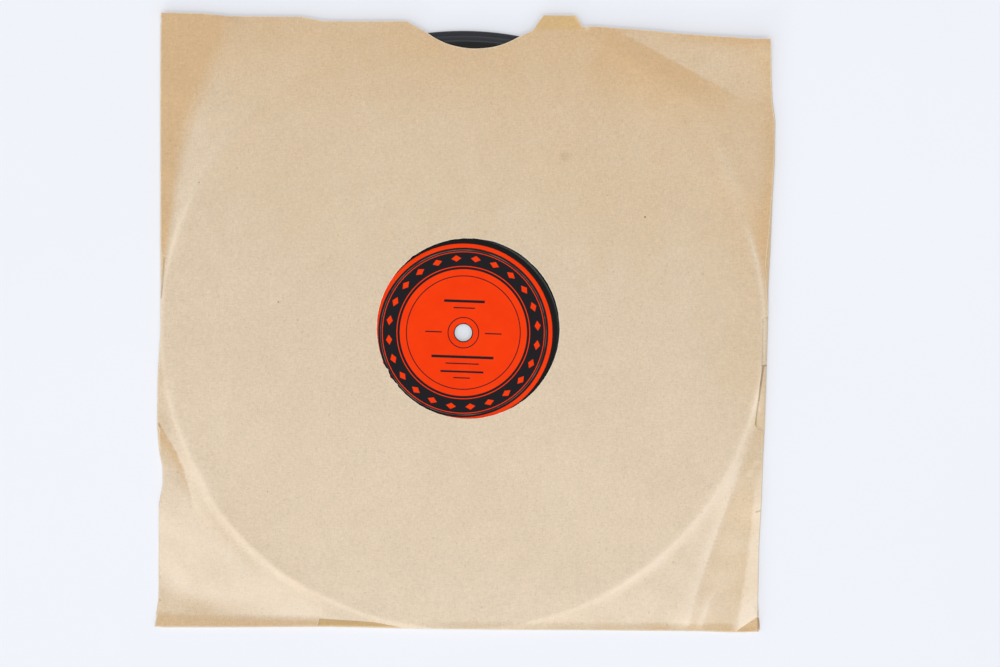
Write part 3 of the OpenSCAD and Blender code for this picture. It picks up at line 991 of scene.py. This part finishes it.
class Shader:
    """A node material or world under construction: each method adds a node and gives back its output."""

    def __init__(self, name, kind="materials", surface="Principled BSDF"):
        self.made = getattr(bpy.data, kind).new(name)
        self.made.use_nodes = True
        self.tree = self.made.node_tree
        self.surface = self.tree.nodes[surface]

    def put(self, socket, value):
        """Links an output to a socket, or sets the socket's own value."""
        if isinstance(value, bpy.types.NodeSocket):
            self.tree.links.new(value, socket)
        else:
            socket.default_value = value

    def add(self, kind, inputs=(), output=0, **settings):
        node = self.tree.nodes.new(kind)
        for key, value in settings.items():
            setattr(node, key, value)
        for key, value in dict(inputs).items():
            self.put(node.inputs[key], value)
        return node.outputs[output]

    def math(self, operation, a, b=0.0, c=0.0):
        return self.add("ShaderNodeMath", {0: a, 1: b, 2: c}, operation=operation)

    def times(self, a, b):
        return self.math("MULTIPLY", a, b)

    def plus(self, a, b):
        return self.math("ADD", a, b)

    def minus(self, a, b):
        return self.math("SUBTRACT", a, b)

    def most(self, a, b):
        return self.math("MAXIMUM", a, b)

    def vector(self, operation, a, b, output=0):
        return self.add("ShaderNodeVectorMath", {0: a, 1: b}, output, operation=operation)

    def mix(self, share, a, b, blend="MIX"):
        return self.add("ShaderNodeMix", {0: share, 6: a, 7: b}, 2, data_type="RGBA", blend_type=blend)

    def spread(self, value, low, high, to_low=0.0, to_high=1.0, kind="LINEAR"):
        """The value's range from low to high brought to another range, and held at its ends."""
        inputs = {0: value, 1: low, 2: high, 3: to_low, 4: to_high}
        return self.add("ShaderNodeMapRange", inputs, interpolation_type=kind)

    def level(self, noise, low=0.0, high=1.0):
        """The usual range of a noise brought to another range."""
        return self.spread(noise, *NOISE_RANGE, low, high)

    def place(self, stretch=(1, 1, 1)):
        """Place on the piece in millimetres, stretched along its axes."""
        local = self.add("ShaderNodeTexCoord", output="Object")
        return self.vector("MULTIPLY", local, tuple(s / MM for s in stretch))

    def noise(self, place, size, detail=2.0, roughness=0.5, along="Vector", kind="3D"):
        """Cloudy values about 0.5 with spots of a given size."""
        inputs = {along: place, "Scale": 1 / size, "Detail": detail, "Roughness": roughness}
        return self.add("ShaderNodeTexNoise", inputs, noise_dimensions=kind)

    def line_noise(self, along, size, detail=2.0, roughness=0.5):
        """Values that vary along one number only."""
        return self.noise(along, size, detail, roughness, "W", "1D")

    def value(self, name):
        """A number that the mesh carries."""
        return self.add("ShaderNodeAttribute", output="Fac", attribute_name=name)

    def parts(self, vector):
        return tuple(self.add("ShaderNodeSeparateXYZ", {0: vector}).node.outputs)

    def polar(self, vector):
        """Radius and angle about the Z axis."""
        x, y, _ = self.parts(vector)
        radius = self.math("SQRT", self.plus(self.times(x, x), self.times(y, y)))
        return radius, self.math("ARCTAN2", y, x)

    def band(self, value, low, high, soft=0.06):
        """1 between low and high, 0 elsewhere, with soft ends."""
        rise = self.spread(value, low - soft, low + soft)
        return self.times(rise, self.spread(value, high - soft, high + soft, 1.0, 0.0))

    def dark_spot(self, distance, reach, strength):
        """A strength that fades away with the distance, up to a reach."""
        return self.spread(distance, SPOT_CORE * reach, reach, strength, 0.0, "SMOOTHSTEP")

    def from_segment(self, place, start, end):
        """Distance from a straight line between two points of the ground plan."""
        along = Vector((*end, 0)) - Vector((*start, 0))
        offset = self.vector("SUBTRACT", place, (*start, 0))
        share = self.vector("DOT_PRODUCT", offset, tuple(along / along.length_squared), "Value")
        inputs = {0: tuple(along), "Scale": self.spread(share, 0.0, 1.0)}
        nearest = self.add("ShaderNodeVectorMath", inputs, operation="SCALE")
        return self.vector("DISTANCE", offset, nearest, "Value")

    def bump(self, height, distance, strength=1.0, below=None):
        inputs = {"Height": height, "Distance": distance * MM, "Strength": strength}
        if below is not None:
            inputs["Normal"] = below
        return self.add("ShaderNodeBump", inputs)

    def finish(self, inputs):
        for key, value in inputs.items():
            self.put(self.surface.inputs[key], value)
        return self.made


KRAFT = (0.696, 0.557, 0.396, 1)
KRAFT_TONED = (0.640, 0.432, 0.233, 1)
KRAFT_PALE = (0.892, 0.748, 0.590, 1)
# Dark brown of soil and specks, and of the painted shadow in gaps and tears
SOIL_AND_GAP_SHADE = (0.20, 0.105, 0.040, 1)
KRAFT_INSIDE = (0.655, 0.440, 0.200, 1)
KRAFT_PALE_EDGE = (0.80, 0.68, 0.52, 1)
# Painted shade on the flaps where they lie under the front sheet
COVERED_SHADE = 0.84
PALE_EDGE_SHARE = 0.8
FLECK_SHADE = 0.1
FLECK_SOIL = 0.04
SPOT_CORE = 0.3
# Size, detail and roughness of the paper's patterns
CLOUDS = (22, 3, 0.6)
MOTTLE = (3.2, 3, 0.65)
LONG_FIBRES = (0.62, 3, 0.65)
CROSS_FIBRES = (0.66, 2, 0.6)
GRAIN = (0.38, 2, 0.7)
FLECKS = (0.9, 1, 0.5)
COCKLE = (5, 2)
FUZZ = (0.3, 3, 0.7)
# Stretch of fibres and flecks along the axes
LONG_STRETCH = (1, 0.35, 1)
CROSS_STRETCH = (0.35, 1, 1)
FLECK_STRETCH = (1, 0.5, 1)
# Ranges of those patterns, and what they come to
FLECK_RANGE = (0.70, 0.78)
FIBRE_SHARE = 0.3
GRAIN_SHARE = 0.4
PALE_CONTRAST = (0.3, 1.3, 1.0, 0.5)
FIBRE_SHADE = (-0.18, 0.18)
MOTTLE_SHADE = (0.98, 1.02)
CLOUD_SHADE = (0.985, 1.015)
FOLDED_OVER = (BACK_MID + 0.2, BACK_MID + 0.5)
PAPER_ROUGHNESS = (0.62, 0.5)
PAPER_SPECULAR = 0.45
CUT_ROUGHNESS = 0.85
# Depth and strength of bumps
FIBRE_BUMP = (0.03, 0.5)
COCKLE_BUMP = (0.12, 0.5)
FUZZ_BUMP = 0.03
# Place, radius and strength of dark marks on the front sheet; the mark at the nick in the left edge, at
# (-124.4, 29.7), is painted shadow in the gap there
MARKS = [((75.1, 49.4), 0.55, 0.95), ((41.3, 73.9), 2.9, 0.17), ((-77.3, 11.9), 0.5, 0.8),
         ((-110.5, 61.2), 0.5, 0.6), ((-69.3, 4.5), 0.45, 0.45), ((-94.8, 67.4), 0.42, 0.35),
         ((59.3, 58.3), 0.42, 0.4), ((109.1, 70.9), 0.42, 0.35), ((90.4, 66.7), 0.4, 0.25),
         ((61.2, 7.6), 0.42, 0.32), ((-81.3, -67.9), 0.45, 0.45), ((-119, -60.3), 0.45, 0.4),
         ((71.3, -24.9), 0.4, 0.25), ((58.3, -88), 0.4, 0.28), ((-124.4, 29.7), 0.5, 0.5),
         ((124.2, 89.9), 0.4, 0.3)]
# Ends, reach and strength of dark lines: painted shadow in the gaps between the front sheet's torn edges
# and the flaps, and at the turned corner; short painted shadows at ticks, small tears in the front sheet's
# edges
FLAP_LINES = [((125.4, 7.8), (125.6, -11.1), 0.45, 0.1), ((125.5, 8.1), (127.4, 7.8), 0.35, 0.2),
              ((125.7, -12.4), (127.1, -12.2), 0.6, 0.6), ((126, -12.8), (125.1, -20.5), 0.65, 0.6),
              ((125.1, -20.5), (124.4, -27), 0.6, 0.5), ((124.4, -27), (123.6, -33.5), 0.55, 0.35),
              ((-125.7, 18), (-126.1, 13), 0.5, 0.5), ((-124.8, 29), (-125.6, 18), 0.7, 0.3),
              ((126.5, -119.8), (126.9, -125.5), 1.0, 0.5)]
FRONT_LINES = [((-127, -39.8), (-126.4, -41), 0.6, 0.4), ((-126, -41.5), (-119.7, -52), 0.7, 0.1),
               ((-127, -104.4), (-126.7, -105.4), 0.6, 0.35),
               ((-126.9, -114.2), (-126.5, -115.2), 0.6, 0.3), ((124.6, -74.4), (126.2, -73.8), 0.55, 0.35)]


def kraft_colour(s, colour, shade, soil_and_shade):
    """The paper's colour: browner, unfaded or paler as its mesh says, with painted highlights and painted
    shade in its tone, pale at worn cut edges and at painted-light fold crests, then shaded by its grain,
    soiled and darkened by painted gap shadow.
    """
    tone = s.value("tone")
    tint = s.mix(s.spread(tone, 0.0, -1.0), colour, KRAFT_TONED)
    tint = s.mix(s.value("fresh"), tint, KRAFT_INSIDE)
    tint = s.mix(s.spread(tone, 0.0, PALEST), tint, KRAFT_PALE)
    # Pale at worn cut edges, and painted light along fold crests
    tint = s.mix(s.times(s.value("worn"), PALE_EDGE_SHARE), tint, KRAFT_PALE_EDGE)
    grey = s.add("ShaderNodeCombineXYZ", {0: shade, 1: shade, 2: shade})
    return s.mix(soil_and_shade, s.mix(1.0, tint, grey, "MULTIPLY"), SOIL_AND_GAP_SHADE)


def kraft(name, colour, marks=(), lines=()):
    """Kraft paper: fibres across and along, clouds, flecks, browner and paler places with painted
    highlights and painted shade among them, dark marks, painted shade under covered flaps and painted
    shadow lines in gaps and tears.
    """
    s = Shader(name)
    place = s.place()
    flecks = s.spread(s.noise(s.place(FLECK_STRETCH), *FLECKS), *FLECK_RANGE)
    fibre = s.noise(s.place(LONG_STRETCH), *LONG_FIBRES)
    fibre = s.plus(fibre, s.noise(s.place(CROSS_STRETCH), *CROSS_FIBRES))
    fibre = s.plus(s.times(fibre, FIBRE_SHARE), s.times(s.noise(place, *GRAIN), GRAIN_SHARE))
    contrast = s.spread(s.value("tone"), *PALE_CONTRAST)
    shade = s.math("MULTIPLY_ADD", s.level(fibre, *FIBRE_SHADE), contrast, 1.0)
    shade = s.times(shade, s.level(s.noise(place, *MOTTLE), *MOTTLE_SHADE))
    shade = s.times(shade, s.level(s.noise(place, *CLOUDS), *CLOUD_SHADE))
    shade = s.minus(shade, s.times(flecks, FLECK_SHADE))
    # Painted shade where the flaps lie under the front sheet
    shade = s.times(shade, s.spread(s.value("stain"), 0.0, 1.0, 1.0, COVERED_SHADE))
    ground = s.vector("MULTIPLY", place, (1, 1, 0))
    soil_and_shade = s.times(flecks, FLECK_SOIL)
    for centre, radius, strength in marks:
        distance = s.vector("DISTANCE", ground, (*centre, 0), "Value")
        soil_and_shade = s.most(soil_and_shade, s.dark_spot(distance, radius, strength))
    folded_over = s.spread(s.parts(place)[2], *FOLDED_OVER)
    # Painted shadow lines in gaps and tears, only where the paper lies folded over
    for start, end, reach, strength in lines:
        mark = s.dark_spot(s.from_segment(ground, start, end), reach, strength)
        soil_and_shade = s.most(soil_and_shade, s.times(mark, folded_over))
    normal = s.bump(fibre, *FIBRE_BUMP, s.bump(s.noise(place, *COCKLE), *COCKLE_BUMP))
    return s.finish({"Base Color": kraft_colour(s, colour, shade, soil_and_shade), "Normal": normal,
                     "Roughness": s.level(fibre, *PAPER_ROUGHNESS), "Specular IOR Level": PAPER_SPECULAR})


def cut_paper():
    """The pale fluffy cut edge of the paper."""
    s = Shader("kraft_cut_edge")
    fuzz = s.noise(s.place(), *FUZZ)
    return s.finish({"Base Color": s.mix(s.level(fuzz), KRAFT_PALE_EDGE, KRAFT), "Roughness": CUT_ROUGHNESS,
                     "Normal": s.bump(fuzz, FUZZ_BUMP)})


GLUE_DARK = (0.45, 0.30, 0.11, 1)
GLUE_PALE = (0.56, 0.40, 0.19, 1)
GLUE_CLOUDS = (1.5, 3, 0.6)
GLUE_ROUGHNESS = (0.3, 0.55)
GLUE_BUMP = 0.02


def dried_glue():
    """Brown dried paste."""
    s = Shader("dried_glue")
    clouds = s.noise(s.place(), *GLUE_CLOUDS)
    return s.finish({"Base Color": s.mix(s.level(clouds), GLUE_DARK, GLUE_PALE),
                     "Roughness": s.level(clouds, *GLUE_ROUGHNESS), "Normal": s.bump(clouds, GLUE_BUMP)})


SHELLAC = (0.006, 0.006, 0.007, 1)
SHELLAC_LOUD = (0.011, 0.011, 0.012, 1)
SHELLAC_DUST = (0.022, 0.021, 0.021, 1)
SHELLAC_HANDLED = (0.044, 0.046, 0.052, 1)
LEAD_IN_PITCH = 1.9
LEAD_OUT_PITCH = 6.1
GROOVE_W = 0.12
# Size, detail and roughness of the disc's patterns
LAND_DUST = (0.5, 3, 0.7)
BAND_DUST = (0.6, 3, 0.7)
SCUFFS = (0.3, 3, 0.6)
HANDLING = (0.9, 2)
PASSAGES = (2.6, 4, 0.6)
FINE_RINGS = (0.24, 2, 0.6)
# Ranges of those patterns, and what they come to
LAND_DUST_RANGE = (0.55, 0.8, 0.0, 0.5)
BAND_DUST_RANGE = (0.6, 0.85, 0.0, 0.35)
LOUD_RANGE = (0.35, 0.7)
HANDLED_SHARE = (0.5, 1.0)
HANDLED_FROM = (BAND_OUTER - 0.5, BAND_OUTER + 0.5)
LEAD_OUT_END = (BAND_INNER, BAND_INNER + 0.2)
LEAD_IN_END = (BAND_OUTER - 0.1, BAND_OUTER - 0.3)
LAND_ROUGHNESS = (0.12, 0.24)
BAND_ROUGHNESS = (0.24, 0.40)
BAND_ANISOTROPY = 0.75
LAND_SPECULAR = 0.4
BAND_SPECULAR = 0.3
GROOVE_BUMP = 0.06
SCUFF_BUMP = 0.0025
RING_BUMP = 0.012


def spiral(s, radius, angle, start, pitch):
    """0 in a spiral groove that starts at a radius, 1 beside it."""
    turn = s.plus(s.math("DIVIDE", s.minus(radius, start), pitch), s.math("DIVIDE", angle, 2 * math.pi))
    offset = s.times(s.math("ABSOLUTE", s.minus(s.math("FRACT", turn), 0.5)), pitch)
    return s.spread(offset, 0.0, GROOVE_W, 0.0, 1.0, "SMOOTHSTEP")


def shellac_land():
    """Smooth pressed shellac with the lead-in and lead-out spirals, fine scuffs and dust."""
    s = Shader("shellac_land")
    place = s.place()
    radius, angle = s.polar(place)
    lead_out = spiral(s, radius, angle, STOP_GROOVE_R, LEAD_OUT_PITCH)
    lead_out = s.most(lead_out, s.spread(radius, *LEAD_OUT_END))
    lead_in = spiral(s, radius, angle, BAND_OUTER, LEAD_IN_PITCH)
    lead_in = s.most(lead_in, s.spread(radius, *LEAD_IN_END))
    scuffs = s.line_noise(radius, *SCUFFS)
    dust = s.spread(s.noise(place, *LAND_DUST), *LAND_DUST_RANGE)
    handled = s.level(s.line_noise(radius, *HANDLING), *HANDLED_SHARE)
    handled = s.times(handled, s.spread(radius, *HANDLED_FROM))
    colour = s.mix(handled, s.mix(dust, SHELLAC, SHELLAC_DUST), SHELLAC_HANDLED)
    normal = s.bump(s.times(lead_out, lead_in), GROOVE_BUMP, below=s.bump(scuffs, SCUFF_BUMP))
    return s.finish({"Base Color": colour, "Roughness": s.level(scuffs, *LAND_ROUGHNESS), "Normal": normal,
                     "Specular IOR Level": LAND_SPECULAR})


def shellac_grooves():
    """The recorded band: fine rings of uneven depth that spread the light across themselves."""
    s = Shader("shellac_grooves")
    place = s.place()
    radius, _ = s.polar(place)
    passages = s.line_noise(radius, *PASSAGES)
    dust = s.spread(s.noise(place, *BAND_DUST), *BAND_DUST_RANGE)
    colour = s.mix(s.spread(passages, *LOUD_RANGE), SHELLAC, SHELLAC_LOUD)
    colour = s.mix(dust, colour, SHELLAC_DUST)
    tangent = s.add("ShaderNodeTangent", direction_type="RADIAL", axis="Z")
    return s.finish({"Base Color": colour, "Roughness": s.level(passages, *BAND_ROUGHNESS),
                     "Tangent": tangent, "Normal": s.bump(s.line_noise(radius, *FINE_RINGS), RING_BUMP),
                     "Anisotropic": BAND_ANISOTROPY, "Specular IOR Level": BAND_SPECULAR})


LABEL_ORANGE = (0.91, 0.042, 0.0015, 1)
LABEL_ORANGE_DEEP = (0.95, 0.048, 0.002, 1)
LABEL_BLACK = (0.011, 0.010, 0.0125, 1)
LABEL_BLACK_WORN = (0.018, 0.0165, 0.020, 1)
# Painted highlight beside the pressed ring
LABEL_RING_HIGHLIGHT = (0.62, 0.33, 0.25, 1)
LABEL_FIBRE = (0.35, 3, 0.7)
LABEL_CLOUDS = (9, 3, 0.6)
ORANGE_RANGE = (0.35, 0.65)
INK_RANGE = (0.35, 0.75)
RING_HIGHLIGHT_BAND = (PRESSED_R + 0.2, PRESSED_R + 0.45, 0.15)
RING_HIGHLIGHT_RANGE = (0.4, 0.6, 0.1, 0.45)
LABEL_ROUGHNESS = (0.42, 0.6)
LABEL_BUMP = (0.012, 0.6)
LABEL_SPECULAR = 0.05
LOZENGES = 24
LOZENGE_R = 31.2
LOZENGE_SIZE = (2.1, 1.3)
LOZENGE_EDGE = (0.95, 1.05, 1.0, 0.0)
BLACK_BANDS = [(26.6, 35.6), (23.6, 24.0), (6.2, 6.6)]
ORANGE_RINGS = [(27.6, 27.95), (33.7, 34.0)]
# Centre and size of the black rules
RULES = [((0, 13.2), (17, 1.1)), ((0, 10.4), (9, 0.5)), ((-12.5, 0), (7, 0.5)), ((12.5, 0), (7, 0.5)),
         ((0, -10.2), (26, 1.1)), ((0, -13), (14, 0.5)), ((0, -16.4), (18, 0.8)), ((0, -19), (7, 0.5))]


def label_ink(s, place, radius, angle):
    """1 where a label is printed black, 0 where it is orange."""
    black = 0.0
    for low, high in BLACK_BANDS:
        black = s.most(black, s.band(radius, low, high))
    x, y, _ = s.parts(place)
    for centre, size in RULES:
        wide, tall = (s.band(a, c - b / 2, c + b / 2) for a, c, b in zip((x, y), centre, size))
        black = s.most(black, s.times(wide, tall))
    for low, high in ORANGE_RINGS:
        black = s.minus(black, s.band(radius, low, high))
    turn = s.math("FRACT", s.times(angle, LOZENGES / (2 * math.pi)))
    sideways = s.times(s.math("ABSOLUTE", s.minus(turn, 0.5)), 2 * math.pi * LOZENGE_R / LOZENGES)
    outwards = s.math("ABSOLUTE", s.minus(radius, LOZENGE_R))
    reach = s.plus(s.math("DIVIDE", sideways, LOZENGE_SIZE[0]), s.math("DIVIDE", outwards, LOZENGE_SIZE[1]))
    return s.spread(s.minus(black, s.spread(reach, *LOZENGE_EDGE)), 0.0, 1.0)


def printed_label(name):
    """A plain two-colour label: a black band of lozenges round an orange field with black rules."""
    s = Shader(name)
    place = s.place()
    radius, angle = s.polar(place)
    fibre = s.noise(place, *LABEL_FIBRE)
    clouds = s.noise(place, *LABEL_CLOUDS)
    orange = s.mix(s.spread(clouds, *ORANGE_RANGE), LABEL_ORANGE, LABEL_ORANGE_DEEP)
    black = s.mix(s.spread(fibre, *INK_RANGE), LABEL_BLACK, LABEL_BLACK_WORN)
    colour = s.mix(label_ink(s, place, radius, angle), orange, black)
    # Painted highlight: a pale cloudy band along the pressed ring's outer side
    highlight_share = s.band(radius, *RING_HIGHLIGHT_BAND)
    highlight_share = s.times(highlight_share, s.spread(clouds, *RING_HIGHLIGHT_RANGE))
    return s.finish({"Base Color": s.mix(highlight_share, colour, LABEL_RING_HIGHLIGHT),
                     "Roughness": s.level(fibre, *LABEL_ROUGHNESS), "Normal": s.bump(fibre, *LABEL_BUMP),
                     "Specular IOR Level": LABEL_SPECULAR})


FLOOR_COLOUR = (0.885, 0.908, 0.965, 1)
FLOOR_SHADE = (0.870, 0.893, 0.952, 1)
BLACK = (0, 0, 0, 1)
FLOOR_CLOUDS = (180, 3, 0.5)
FLOOR_GRAIN = (1.2, 2, 0.5)
FLOOR_RANGE = (0.35, 0.65)
FLOOR_ROUGHNESS = 0.7
FLOOR_SPECULAR = 0.2
FLOOR_BUMP = (0.01, 0.3)
FLOOR_HALF = 5000
FLOOR_DROP = 0.02
FLOOR_GLOW = 0.42


def table_floor():
    """A plain pale floor, faintly uneven in tone."""
    s = Shader("table_floor")
    clouds = s.noise(s.place(), *FLOOR_CLOUDS)
    colour = s.mix(s.spread(clouds, *FLOOR_RANGE), FLOOR_COLOUR, FLOOR_SHADE)
    rays = s.add("ShaderNodeLightPath").node.outputs
    seen = s.most(rays["Is Camera Ray"], s.most(rays["Is Glossy Ray"], rays["Is Transmission Ray"]))
    glow = s.times(seen, FLOOR_GLOW)
    normal = s.bump(s.noise(s.place(), *FLOOR_GRAIN), *FLOOR_BUMP)
    material = s.finish({"Base Color": s.mix(glow, colour, BLACK), "Roughness": FLOOR_ROUGHNESS,
                         "Specular IOR Level": FLOOR_SPECULAR, "Normal": normal, "Emission Color": colour,
                         "Emission Strength": glow})
    signs = np.array([(-1, -1), (1, -1), (1, 1), (-1, 1)])
    corners = np.c_[signs * FLOOR_HALF, np.full(4, FLOOR_Z - FLOOR_DROP)]
    floor = new_piece("floor", corners, [(0, 1, 2, 3)], [material])


SKY_LIGHT = 0.645
SKY_LEAN = 0.8
SKY_LEAN_AZIMUTH = -108
OVERHEAD_SHARE = 0.2
OVERHEAD_FROM = 0.92
OVERHEAD_TO = 0.985
SEEN_SKY = 0.95
WORLD_COLOUR = (0.975, 0.985, 1.0, 1)
LAMP_COLOUR = (1.0, 0.99, 0.97)
# Share of the light on the floor, azimuth, elevation, distance in metres, width and height in metres
LAMPS = {f"top_{turn}": (0.09, turn, 66, 5.0, 1.3, 1.3) for turn in (45, 135, 225, 315)}
LAMPS["rake"] = (0.06, -112, 13, 6.0, 2.6, 1.2)


def studio_world():
    """Soft light from all round, stronger from the near side and dimmer straight above."""
    s = Shader("studio", "worlds", "Background")
    direction = s.add("ShaderNodeTexCoord", output="Generated")
    lean = math.radians(SKY_LEAN_AZIMUTH)
    leaning = s.vector("DOT_PRODUCT", direction, (math.cos(lean), math.sin(lean), 0), "Value")
    level = s.math("MULTIPLY_ADD", leaning, SKY_LIGHT * SKY_LEAN, SKY_LIGHT)
    up = s.parts(direction)[2]
    level = s.times(level, s.spread(up, OVERHEAD_FROM, OVERHEAD_TO, 1.0, OVERHEAD_SHARE, "SMOOTHSTEP"))
    seen = s.add("ShaderNodeLightPath", output="Is Camera Ray")
    level = s.add("ShaderNodeMix", {0: seen, 2: level, 3: SEEN_SKY})
    bpy.context.scene.world = s.finish({"Color": WORLD_COLOUR, "Strength": level})


def soft_lamp(name, share, azimuth, elevation, distance, width, height):
    """A broad lamp that gives the floor a share of its light."""
    lamp = bpy.data.lights.new(name, "AREA")
    lamp.shape = "RECTANGLE"
    lamp.size = width
    lamp.size_y = height
    lamp.color = LAMP_COLOUR
    rise = math.radians(elevation)
    turn = math.radians(azimuth)
    lamp.energy = share * (math.pi * distance) ** 2 / math.sin(rise)
    direction = Vector((math.cos(turn) * math.cos(rise), math.sin(turn) * math.cos(rise), math.sin(rise)))
    piece = bpy.data.objects.new(name, lamp)
    piece.location = direction * distance
    piece.rotation_euler = direction.to_track_quat("Z", "Y").to_euler()
    bpy.context.scene.collection.objects.link(piece)


def photo_camera():
    """The camera where the photograph was taken from, nearly straight above."""
    tilt, side, roll = (math.radians(a) for a in (CAMERA_TILT, CAMERA_SIDE, CAMERA_ROLL))
    back = Vector((math.sin(side) * math.cos(tilt), math.sin(tilt), math.cos(tilt) * math.cos(side)))
    back.normalize()
    up = Vector((0, 1, 0))
    up = (up - back * up.dot(back)).normalized()
    right = up.cross(back)
    turned = Matrix((right * math.cos(roll) + up * math.sin(roll),
                     up * math.cos(roll) - right * math.sin(roll), back))
    data = bpy.data.cameras.new("camera")
    data.sensor_width = SENSOR_W
    data.lens = FOCAL_PIXELS / IMAGE_W * SENSOR_W
    data.clip_start, data.clip_end = CAMERA_CLIP
    camera = bpy.data.objects.new("camera", data)
    place = (Vector(CAMERA_TARGET) + back * CAMERA_DISTANCE) * MM
    camera.matrix_world = Matrix.Translation(place) @ turned.transposed().to_4x4()
    bpy.context.scene.collection.objects.link(camera)
    bpy.context.scene.camera = camera


def build():
    """Makes every piece, ties it to its body and hides the frame's parts that it stands for."""
    outside = kraft("kraft_front", KRAFT, MARKS, FRONT_LINES)
    lining = kraft("kraft_inside", KRAFT_INSIDE)
    cut = cut_paper()
    front, front_flat, front_area = front_sheet([outside, lining, cut])
    back, back_flat, back_area = back_sheet([lining, kraft("kraft_back", KRAFT, (), FLAP_LINES), cut])
    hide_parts("front_panel")
    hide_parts("back_panel", "left_fold", "right_fold", "bottom_fold", "left_flap", "right_flap",
                "bottom_flap")
    glue = dried_glue()
    for side in ("left", "right", "bottom"):
        node = f"{side}_glue_line"
        strip = glue_strip(node, glue)
        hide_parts(node)
        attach(strip, "sleeve")
    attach(front, "sleeve")
    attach(back, "sleeve")
    disc = record_disc([shellac_land(), shellac_grooves()])
    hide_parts("shellac_disc")
    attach(disc, "record")
    lean = Matrix.Rotation(math.radians(LABEL_LEAN), 4, "Z")
    sides = {"side_a": lean, "side_b": Matrix.Rotation(math.pi, 4, "X") @ lean}
    for side, turn in sides.items():
        label = paper_label(f"label_{side}", printed_label(f"label_print_{side}"), turn)
        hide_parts(f"{side}_label")
        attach(label, "record")


photo_camera()
studio_world()
for lamp_name, setting in LAMPS.items():
    soft_lamp(lamp_name, *setting)
table_floor()
build()
bpy.context.scene.view_settings.view_transform = "Standard"
